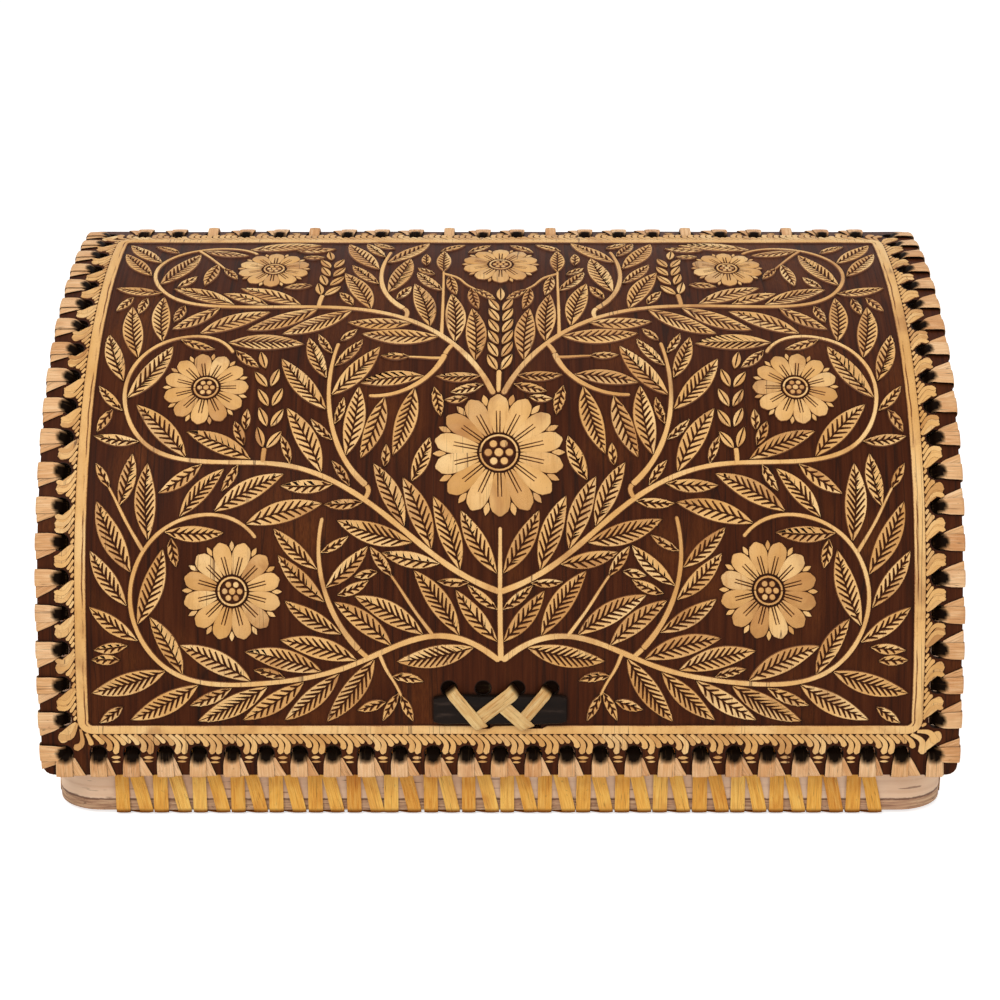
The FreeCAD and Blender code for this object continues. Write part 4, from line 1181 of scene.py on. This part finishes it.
def fill(leaves, tries, lengths, slim):
    """Leaves in what room is left, each pointing away from the nearest stem."""
    known = np.array(stem_points)
    for _ in range(tries):
        free = np.argwhere(~taken)
        spot = free[rng.integers(len(free))] * CELL + (0, FIELD_LOW)
        near = known[np.argmin(np.hypot(*(known - spot).T))]
        heading = math.atan2(*(spot - near)[::-1]) + rng.uniform(-0.7, 0.7)
        for length in lengths:
            base = spot - direction(heading) * length / 2
            if try_leaf(leaves, base, heading, (length,), bend=rng.uniform(-0.35, 0.35), slim=slim):
                break


def grain_halves(base, angle):
    """The two halves of a grain of corn."""
    a = np.linspace(0, GRAIN_LENGTH, 9)
    b = leaf_width(a, GRAIN_LENGTH, GRAIN_WIDTH + 0.3)
    inner = np.where((a > 1.5) & (a < GRAIN_LENGTH - 1), 0.22, 0.02)[1:-1]
    half = np.concatenate([np.stack([a, b], 1), np.stack([a[1:-1], inner], 1)[::-1]])
    for side in (1, -1):
        yield bent((half * (1, side))[::-side], base, angle, GRAIN_LENGTH, 0.0)


def ear(shell, path, mirrored):
    """An ear of corn: a pair of grains at each place but the last, which has one."""
    grains = [(heading_point((x, s), heading, 0.0, side * GAP), heading + side * math.radians(GRAIN_LEAN))
              for x, s, heading in path[:-1] for side in (-1, 1)]
    for base, angle in [*grains, (path[-1][:2], path[-1][2])]:
        for outline in grain_halves(base, angle):
            pair(shell, outline, mirrored, flare=0.2, inset=0.12)
        claim(bent(leaf_edge(GRAIN_LENGTH, GRAIN_WIDTH + 0.6, 10), base, angle, GRAIN_LENGTH, 0.0))


LEAF_REACH = 0.9
STALK_WIDTHS = (1.6, 1.9)


def ornament():
    flowers, stems, leaves = Shell(), Shell(), Shell()
    for across, up, share, petals in FLOWERS:
        daisy(flowers, field_point(across, up), share * REACH, petals, across > 0)
    lines = {}
    for places in (MIDDLE_STEM, *SIDE_STEMS, *BRANCHES):
        line = lines[places] = np.array(smooth_path(places, STEM_WIDTH))[:, :2]
        if places in SIDE_STEMS:
            line = np.concatenate([line[:1] + (line[:1] - line[1:2]) * 1.5, line])
        add_stem(stems, line, STEM_WIDTH, STEM_WIDTH * (1 - STEM_TAPER), places is not MIDDLE_STEM)
    paths = [smooth_path(places, GRAIN_PITCH) for places in EARS]
    for path in paths:
        ear(flowers, path, path[0][0] > 0)
    for base, angle, length, bend in main_leaves():
        base = np.array(base) - LEAF_REACH * direction(angle)
        add_leaf(leaves, base, angle, length + LEAF_REACH, length * LEAF_SLIMNESS + 0.3, bend)
    known = np.concatenate([lines[places] for places in SIDE_STEMS])
    starts = [np.array(path)[:2, :2] for path in paths]
    for line in [lines[places] for places in BRANCHES] + starts:
        if line[0, 0] > 0:
            join(stems, line, known)
        else:
            add_stem(stems, [line[0] - (0, length) for length in (10.5, 7, 3.5, 0)], *STALK_WIDTHS, False)
    sprout(stems, leaves, 4.5, 30)
    fill(leaves, 900, (22, 19, 16, 13), 0.32)
    fill(leaves, 500, (11, 9), 0.36)
    for part, shell in (("flowers", flowers), ("stems", stems), ("leaves", leaves)):
        shell.build("ornament_" + part, GOLD, "lid", "bark_embossed", ["openwork_" + part])


ornament()


# ---------------------------------------------------------------- lacing

# Shares of a strip's width and thickness
TAPE_PROFILE = np.array([
    (-0.5, -0.2), (-0.47, 0.28), (-0.25, 0.46), (0.0, 0.5), (0.25, 0.46), (0.47, 0.28),
    (0.5, -0.2), (0.25, -0.44), (0.0, -0.46), (-0.25, -0.44)])
# For each side, the way along its lacing and the way outwards
WAYS = {"front": ((1, 0), (0, -1)), "back": ((-1, 0), (0, 1)), "right": ((0, 1), (1, 0)),
        "left": ((0, -1), (-1, 0))}
# The dark disc round each lid hole: partly charred bark, partly painted shade where the strips go in
SCORCH_SHADE_RADIUS = 2.3
SCORCH_SHADE_FADE = 2.3
SIDE_SCORCH_SHADE_FADE = 1.3
STITCH_THICK = 0.52
BASE_STRIP = 5.4
BASE_THICK = 0.62
BASE_FRONT_HALF = 148.0
BASE_BACK_HALF = 160.5
RIM_FRONT_HALF = 148.1
RIM_FRONT_COUNT = 22
RIM_START = 9.9
RIM_END = 22.5
CORNER_STRIP = 5.2
CORNER_THICK = 0.66
CORNER_REACH = 7.4
CORNER_HEIGHTS = np.linspace(24, HINGE_Z - 14, 11)
LOOP_RADIUS = 7.05
LOOP_STRIP = 4.4
LOOP_THICK = 0.82


def tape(shell, place, centres, widths, thickness, tones, closed=True, across=None, start=0.0, scorch_and_shade=None):
    """A flat strip along a line of local u, v, w points; it lies across u unless told otherwise.
    The last argument is the radius and fading edge of the dark disc round the hole at u = v = 0: partly
    charred bark, partly painted shade where the strip goes in."""
    count, size = len(centres), len(TAPE_PROFILE)
    across = np.tile((1.0, 0, 0), (count, 1)) if across is None else across
    if closed:
        tangents = np.roll(centres, -1, 0) - np.roll(centres, 1, 0)
    else:
        tangents = np.gradient(centres, axis=0)
    normals = unit(np.cross(tangents, across))
    du, dn = TAPE_PROFILE.T
    beside = du * np.broadcast_to(widths, (count,))[:, None]
    local = centres[:, None] + across[:, None] * beside[..., None]
    local = (local + normals[:, None] * (dn * thickness)[:, None]).reshape(-1, 3)
    run = np.tile((run_of(centres) + start)[:, None], (1, size))
    grains = np.stack([beside, run, np.full((count, size), rng.uniform(0, 50))], -1).reshape(-1, 3)
    tones = np.repeat(np.broadcast_to(tones, (count,)), size)
    if scorch_and_shade:
        near = fading(np.hypot(local[:, 0], local[:, 1] * 0.9), *scorch_and_shade)
        tones = np.where(local[:, 2] > -1.2, near, tones)
    shell.add(place(local), ring_faces(count, size, closed, caps=not closed), tones, grains)


def lid_place(x, s, u_way, v_way):
    """From local u, v, w to the lid: u along the run, v to the edge, w off the face."""
    ways = np.array([u_way, v_way], float)

    def place(local):
        flat = np.array([x, s]) + local[:, :2] @ ways
        return lid_point(*flat.T, local[:, 2])
    return place


def rigid_place(origin, u, v, w):
    basis = np.array([u, v, w], float)
    return lambda local: np.array(origin, float) + local @ basis


def build_lacing(shell, name, node, body="box", material=LACE_TAN, slot="lace_tan"):
    shell.build("lacing_" + name, material, body, slot, [node], sharp=60)


def stitch(shell, place, thickness, foot=3.9, width=6.1, fade=SCORCH_SHADE_FADE):
    """Two strips through a hole and round an edge: one square to it over one that slants."""
    deep, edge = -thickness, EDGE_MARGIN
    tilt = rng.uniform(-0.3, 0.3)
    lift = rng.uniform(-0.02, 0.1)
    pull = rng.uniform(-0.25, 0.35)
    over = [
        (-0.5, deep * 0.6), (0.3 + pull, -0.4), (1.4 + pull, 0.5), (2.7 + pull, 0.86), (edge - 0.9, 0.9),
        (edge + 0.55, 0.5), (edge + 0.9, deep * 0.33), (edge + 0.9, deep * 0.75), (edge + 0.35, deep - 0.62),
        (edge - 1.2, deep - 0.92), (2.0, deep - 0.92), (-1.4, deep - 0.8), (-1.9, deep - 0.1)]
    under = [
        (0.3, deep * 0.6), (1.1 + pull, -0.4), (2.2 + pull, 0.1), (3.6 + pull, 0.36), (edge - 0.7, 0.36),
        (edge + 0.2, 0.12), (edge + 0.38, deep * 0.33), (edge + 0.38, deep * 0.75), (edge - 0.1, deep - 0.3),
        (edge - 1.6, deep - 0.38), (3.4, deep - 0.38), (0.2, deep - 0.3), (-0.6, deep + 0.3)]
    for outline in (under, over):
        v, w = smooth_line(outline, 3, closed=True).T
        shift = np.clip(v / (edge + 0.5), 0, 1.05)
        narrow = 1 - 0.2 * fading(v, 0.5, 3.0)
        # Darker from the hole outwards: partly charred, partly painted shade where the strip goes into the
        # hole
        burn_and_shade = fading(v, pull + 0.4, 2.6)
        if outline is under:
            u = 0.3 + foot * shift ** 1.1
            widths = (width - 0.4) * narrow
        else:
            u = -0.2 + tilt * shift
            widths = width * narrow * (1 + 0.05 * shift)
            w = np.where(w > deep / 2, w + lift * np.sin(math.pi * np.clip(v / edge, 0, 1)), w)
        # Near black on the part under the lid, near the hole: painted shade in the hole, partly charred
        burn_and_shade = np.where(w < deep + 0.3, np.minimum(fading(v, 0.0, 3.0), 0.9), burn_and_shade)
        tape(shell, place, np.stack([u, v, w], 1), widths, STITCH_THICK, burn_and_shade,
             scorch_and_shade=(SCORCH_SHADE_RADIUS + rng.uniform(-0.3, 0.3), fade))


def lid_lacing():
    for run, side, holes in (("front", "front", [(x, EDGE_MARGIN) for x in FRONT_HOLES]),
                             ("right", "right", [(SIDE_HOLE_X, s) for s in SIDE_HOLES]),
                             ("rear", "back", [(x, REAR_S) for x in REAR_HOLES]),
                             ("left", "left", [(-SIDE_HOLE_X, s) for s in SIDE_HOLES])):
        shell = Shell()
        for hole in holes:
            foot = 4.1 + rng.uniform(-1.0, 0.7)
            stitch(shell, lid_place(*hole, *WAYS[side]), LID_THICK, foot,
                   fade=SCORCH_SHADE_FADE if run == "front" else SIDE_SCORCH_SHADE_FADE)
        if run == "front":
            for end, foot in ((-1, 4.6), (1, 0.6)):
                stitch(shell, lid_place(end * SIDE_HOLE_X, EDGE_MARGIN, *WAYS[side]), LID_THICK, foot)
        build_lacing(shell, "lid_" + run, "lid_lacing_" + run, "lid")


def base_lacing():
    """Upright and slanted strips round the wall and the board."""
    side_low, side_high = BOX_FRONT + CORNER_RADIUS, BOX_BACK - 12
    low = BASE_HOLE_Z - BOARD_BOTTOM
    inner = -WALL_THICK - 0.75
    ends = {"front": (-BASE_FRONT_HALF, BASE_FRONT_HALF, BOX_BACK),
            "back": (-BASE_BACK_HALF, BASE_BACK_HALF, BOX_BACK),
            "right": (side_low, side_high, BOX_HALF), "left": (-side_high, -side_low, BOX_HALF)}
    for run, (start, end, reach) in ends.items():
        shell = Shell()
        u, w = np.array(WAYS[run])
        pitch = (end - start) / round((end - start) / BASE_PITCH)
        for step in range(round((end - start) / pitch)):
            place = rigid_place((*((start + pitch * step + BASE_STRIP / 2) * u + reach * w), BASE_HOLE_Z),
                                (*u, 0), (0, 0, -1), (*w, 0))
            sway = rng.uniform(-0.35, 0.35)
            lean = pitch - BASE_STRIP - 0.35 + rng.uniform(-0.45, 0.25)
            for near in (0.62, 0.9):
                v, depth = smooth_line([
                    (0.2, -WALL_THICK / 2), (0.25, 0.15), (1.3, near - 0.1), (5, near), (14, near),
                    (22, 0.8), (low - 1.5, 0.76), (low + 0.55, 0.62), (low + 0.78, -0.4),
                    (low + 0.76, -2.2), (low + 0.4, inner + 0.2), (low - 1.0, inner),
                    (20, inner), (3, inner), (0.6, inner + 0.3)], 3, closed=True).T
                down = np.clip(v / low, 0, 1)
                if near < 0.9:
                    front = np.clip((depth - inner) / (0.8 - inner) * 1.05, 0, 1) ** 1.5
                    across = lean * (down + 0.07 * np.sin(math.pi * down)) * front
                    width = 5.3
                else:
                    across = sway * down
                    width = 5.45 + rng.uniform(-0.3, 0.2)
                # Darker near the hole, partly charred and partly painted shade, and painted shade where the
                # strip wraps under the board
                burn_and_shade = np.clip(0.75 - v / 3.0, 0, 1) * 0.8 + 0.9 * np.clip((v - low + 0.7) / 0.8, 0, 1)
                tape(shell, place, np.stack([across, v, depth], 1), width, BASE_THICK, burn_and_shade)
        build_lacing(shell, "base_" + run, "base_lacing_" + run, "box", LACE_YELLOW, "lace_yellow")


def rim_lacing():
    """Stitches along the wall's rim, in front and up along the section at the sides."""
    runs = {"front": [], "left": [], "right": []}
    for x in np.linspace(-RIM_FRONT_HALF, RIM_FRONT_HALF, RIM_FRONT_COUNT):
        hole = (x, BOX_FRONT, FRONT_WALL - EDGE_MARGIN)
        runs["front"].append(rigid_place(hole, (1, 0, 0), (0, 0, 1), (0, -1, 0)))
    lengths = np.linspace(0, LID_LENGTH, 4001)
    y, _, _ = section(lengths, RIM_INSET + EDGE_MARGIN)
    start, end = np.interp(BOX_FRONT + CORNER_RADIUS + RIM_START, y, lengths), LID_LENGTH - RIM_END
    for length in np.linspace(start, end, round((end - start) / RIM_PITCH) + 1):
        y, z, turn = (float(value) for value in section(length, RIM_INSET + EDGE_MARGIN))
        along_rim = np.array([0, math.sin(turn), math.cos(turn)])
        outward = np.array([0, -math.cos(turn), math.sin(turn)])
        runs["right"].append(rigid_place((BOX_HALF, y, z), along_rim, outward, (1, 0, 0)))
        runs["left"].append(rigid_place((-BOX_HALF, y, z), -along_rim, outward, (-1, 0, 0)))
    for run, places in runs.items():
        shell = Shell()
        for place in places:
            stitch(shell, place, WALL_THICK, 2.6, 5.2)
        build_lacing(shell, "rim_" + run, "rim_lacing_" + run)


def corner_lacing():
    """Flat strips round the upright rear corners."""
    gap = 0.62
    side_y, back_x = BACK_INNER - CORNER_REACH, BOX_HALF - WALL_THICK - CORNER_REACH
    face, rear = BOX_HALF + gap, BOX_BACK + gap
    inner_x, inner_y = BOX_HALF - WALL_THICK - gap, BACK_INNER - gap
    x, y = smooth_line([
        (face - 1.6, side_y + 0.1), (face - 0.1, side_y + 0.7), (face, side_y + 3), (face, rear - 1.6),
        (face - 0.3, rear - 0.3), (face - 1.6, rear), (back_x + 3, rear), (back_x + 0.7, rear - 0.1),
        (back_x + 0.1, rear - 1.6), (back_x + 0.6, inner_y + 0.4), (back_x + 1.6, inner_y),
        (inner_x - 1.2, inner_y), (inner_x, inner_y - 1.2), (inner_x, side_y + 1.6),
        (inner_x + 0.4, side_y + 0.6)], 3, closed=True).T
    from_holes = np.minimum(np.hypot(x - BOX_HALF + 1.5, y - side_y),
                            np.hypot(x - back_x, y - BOX_BACK + 1.5))
    # Darker near the holes: partly charred, partly painted shade where the strip goes through the wall
    burn_and_shade = fading(from_holes, 0.5, 2.5)
    for side, name in ((1, "right"), (-1, "left")):
        shell = Shell()
        for height in CORNER_HEIGHTS:
            place = rigid_place((0, 0, height), (0, 0, 1), (side, 0, 0), (0, 1, 0))
            tape(shell, place, np.stack([np.zeros(len(x)), x, y], 1), CORNER_STRIP, CORNER_THICK, burn_and_shade)
        build_lacing(shell, "corner_" + name, "corner_lacing_" + name)


def hinge_loops():
    shell = Shell()
    turns = np.arange(40) * 2 * math.pi / 40
    centres = LOOP_RADIUS * np.stack([np.zeros(40), np.cos(turns), np.sin(turns)], 1)
    # Darker where the loop goes through the lid and wall: partly charred, partly painted shade
    burn_and_shade = np.clip(0.9 - np.abs((turns - 3.5 + math.pi) % (2 * math.pi) - math.pi) * 1.2, 0, 1)
    for x in LOOP_XS:
        place = rigid_place((x, BOX_BACK, HINGE_Z), (1, 0, 0), (0, 1, 0), (0, 0, 1))
        tape(shell, place, centres, LOOP_STRIP, LOOP_THICK, burn_and_shade)
    build_lacing(shell, "hinge", "hinge_loops")


lid_lacing()
base_lacing()
rim_lacing()
corner_lacing()
hinge_loops()


# ---------------------------------------------------------------- handle

STRAP_LEVELS = (0.23, 2.83)
# Across as a share of the strap's width, height as a share of its own
STRAP_PROFILE = np.array([(-0.5, 0.08), (-0.5, 0.7), (-0.46, 0.95), (-0.25, 1.0), (0, 0.97), (0.25, 1.0),
                          (0.46, 0.95), (0.5, 0.7), (0.5, 0.08), (0.25, 0.0), (-0.25, 0.0)])
OVER_STRAP = 3.15
OVER_LACE = 3.72
# Start, end, width, heights there, and whether the end is tucked into a slot
HANDLE_STRIPS = (
    ((-18.9, HANDLE_UP), (-7.0, HANDLE_LOW), 4.7, (OVER_LACE - 0.2, OVER_LACE), True),
    ((6.0, HANDLE_UP), (-9.0, -4.0), 5.5, (OVER_LACE, OVER_STRAP), False),
    ((-0.6, 3.1), (10.4, HANDLE_LOW), 5.1, (OVER_STRAP, OVER_LACE), True),
    ((18.0, HANDLE_UP), (8.3, -4.0), 4.7, (OVER_LACE, OVER_STRAP), False))


def handle_bar(place, count=27):
    """The black strap, a little narrower and thinner at its ends."""
    xs = np.linspace(-STRAP_LENGTH / 2, STRAP_LENGTH / 2, count)[:, None]
    taper, thin = np.ones((2, count, 1))
    taper[[0, 1, -2, -1], 0] = (0.84, 0.95, 0.95, 0.84)
    thin[[0, -1]] = 0.86
    low, high = STRAP_LEVELS
    across = STRAP_PROFILE[:, 0] * STRAP_WIDTH * taper * (1 + 0.012 * np.sin(xs * 0.9))
    across += 0.1 * np.sin(xs * 0.35)
    level = low + STRAP_PROFILE[:, 1] * (high - low) * thin
    rows = np.stack([xs + 0 * across, across, level], -1).reshape(-1, 3)
    shell = Shell()
    shell.add(place(rows), ring_faces(count, len(STRAP_PROFILE), caps=True), 0.0, rows)
    shell.build("handle_bar", STRAP, "lid", "strap", ["handle_strap"], sharp=50)


def handle_lacing(place):
    """The strips woven over the strap, and two behind the lid from hole to hole."""
    shell = Shell()
    for index, (first, last, wide, (near, far), tucked) in enumerate(HANDLE_STRIPS):
        first, last = np.array(first), np.array(last)
        holed = first[1] == HANDLE_UP
        share = np.linspace(0, 1, 9)
        lift = near + (far - near) * share ** 1.5 + 0.1 * np.sin(math.pi * share)
        local = np.concatenate([first + np.outer(share, last - first), lift[:, None]], 1)
        way = unit(last - first)
        if holed:
            start = [(*first, -2.2), (*first, -0.8), (*(first + (last - first) * 0.01), 1.2)]
            local = np.concatenate([start, local[1:]])
        if tucked:
            local[-1, 2] -= 0.7
            local = np.concatenate([local, [(*(last + way * 0.5), 1.9), (*(last + way * 0.2), 0.4),
                                            (*(last - way * 0.4), -1.4)]])
        local = smooth_line(local, 3)
        run = run_of(local)
        # Darker near the holes, partly charred and partly painted shade; a strip that starts under the strap
        # is painted shade there
        burn_and_shade = fading(run, 3.6, 2.6) if holed else fading(run, -0.4, 2.0)
        sideways = np.array([*left_of(way), 0.0])
        turn = fading(run[-1] - run, 2.2, 4.5)[:, None] ** 1.3 * tucked
        across = unit(sideways * np.sign(sideways[0]) * (1 - turn) + np.array([1.0, 0.0, 0.0]) * turn)
        tape(shell, place, local, wide * (1 - 0.12 * turn[:, 0]), 0.5, burn_and_shade, closed=False, across=across,
             start=index * 17.0)
    behind = -LID_THICK - 0.7
    for (left, right), level, wide, top in (((-23.0, 23.0), HANDLE_UP, 7.0, behind),
                                            (SLOT_XS, HANDLE_LOW, 3.6, -1.0)):
        half_way = (top + behind) / 2
        local = smooth_line([(x, level, height) for x, height in (
            (left, top), (left + 0.4, half_way), (left + 2, behind), (0.0, behind), (right - 2, behind),
            (right - 0.4, half_way), (right, top))], 5)
        ends = np.min([np.abs(local[:, 0] - x) for x in (left, right, *HANDLE_XS)], axis=0)
        # Near black by the holes, so they read dark from the front: painted shade, partly charred
        tape(shell, place, local, wide, 0.5, np.clip(2.4 - ends / 2.6, 0.1, 1), closed=False,
             across=np.tile((0.0, 1.0, 0.0), (len(local), 1)))
    shell.build("handle_lacing", LACE_CREAM, "lid", "lace_cream", ["handle_lace"], sharp=60)


handle_place = lid_place(0, STRAP_S, (1, 0), (0, 1))
handle_bar(handle_place)
handle_lacing(handle_place)


# ---------------------------------------------------------------- the box's own nodes

for material, names in ((BARK_PALE, ("wall_bark", "back_panel")), (BOARD, ("base_board",)),
                        (BARK_PLAIN, ("wall_lining", "back_lining", "floor_lining", "underside_sheet"))):
    for name in names:
        nodes[name].data.materials.clear()
        nodes[name].data.materials.append(material)


# ---------------------------------------------------------------- floor, light and camera

FLOOR_SIZE = 8.0
FLOOR_GLOW = 0.68
WORLD_LIGHT = 0.5
WHITE = (1, 1, 1, 1)
# Name, place and target in metres, size in metres and power in watts
LAMPS = (("key", (-0.7, -1.3, 1.5), (0, 0, 0.08), 0.9, 14), ("fill", (1.2, -1.2, 0.7), (0, 0, 0.1), 1.2, 4),
         ("low", (0.0, -1.8, 0.25), (0, 0, 0.04), 1.0, 3.5), ("top", (0.1, 0.3, 1.8), (0, 0, 0.1), 1.2, 6))
CAMERA_PLACE = (0.0, -0.8719, 0.37717)
CAMERA_TILT = 72.5
CAMERA_LENS = 81.0
SENSOR = 36.0


def seen_directly(paint):
    """1 for camera, glossy and transmission rays."""
    path = paint.node("LightPath")
    total = paint.math("ADD", path.outputs["Is Camera Ray"], path.outputs["Is Glossy Ray"])
    return paint.math("MINIMUM", paint.math("ADD", total, path.outputs["Is Transmission Ray"]), 1.0)


def make_floor():
    """A white floor that keeps the shadow."""
    paint = new_paint("floor_white")
    speck, = paint.noises(None, (0.004, 0.004, 0.004, 2))
    matt = paint.node("BsdfDiffuse", {"Color": paint.ramp(speck, (0.3, 0.86), (0.7, 0.88))})
    strength = paint.math("MULTIPLY", seen_directly(paint), FLOOR_GLOW)
    glow = paint.node("Emission", {"Color": WHITE, "Strength": strength})
    both = paint.node("AddShader", {0: matt.outputs[0], 1: glow.outputs[0]})
    paint.node("OutputMaterial", {"Surface": both.outputs[0]})
    bpy.ops.mesh.primitive_plane_add(size=FLOOR_SIZE, location=(0, 0, -0.0002))
    floor = bpy.context.object
    floor.name = "floor"
    floor.data.materials.append(paint.holder)


def make_world():
    """A dim world that looks white."""
    world = bpy.context.scene.world = bpy.data.worlds.new("studio")
    paint = Paint(world)
    dim = paint.node("Background", {"Strength": WORLD_LIGHT})
    white = paint.node("Background", {"Color": WHITE, "Strength": 1.0})
    mix = paint.node("MixShader", {0: seen_directly(paint), 1: dim.outputs[0], 2: white.outputs[0]})
    paint.node("OutputWorld", {0: mix.outputs[0]})


def add_object(name, data, place, turn):
    made = bpy.data.objects.new(name, data)
    made.location, made.rotation_euler = place, turn
    bpy.context.scene.collection.objects.link(made)
    return made


make_floor()
make_world()
for name, place, target, size, power in LAMPS:
    lamp = bpy.data.lights.new(name, "AREA")
    lamp.shape, lamp.size, lamp.energy = "DISK", size, power
    add_object(name, lamp, place, (Vector(target) - Vector(place)).to_track_quat("-Z", "Y").to_euler())
camera = bpy.data.cameras.new("camera")
camera.sensor_width, camera.lens = SENSOR, CAMERA_LENS
bpy.context.scene.camera = add_object("camera", camera, CAMERA_PLACE, (math.radians(CAMERA_TILT), 0.0, 0.0))
bpy.context.scene.view_settings.view_transform = "Standard"
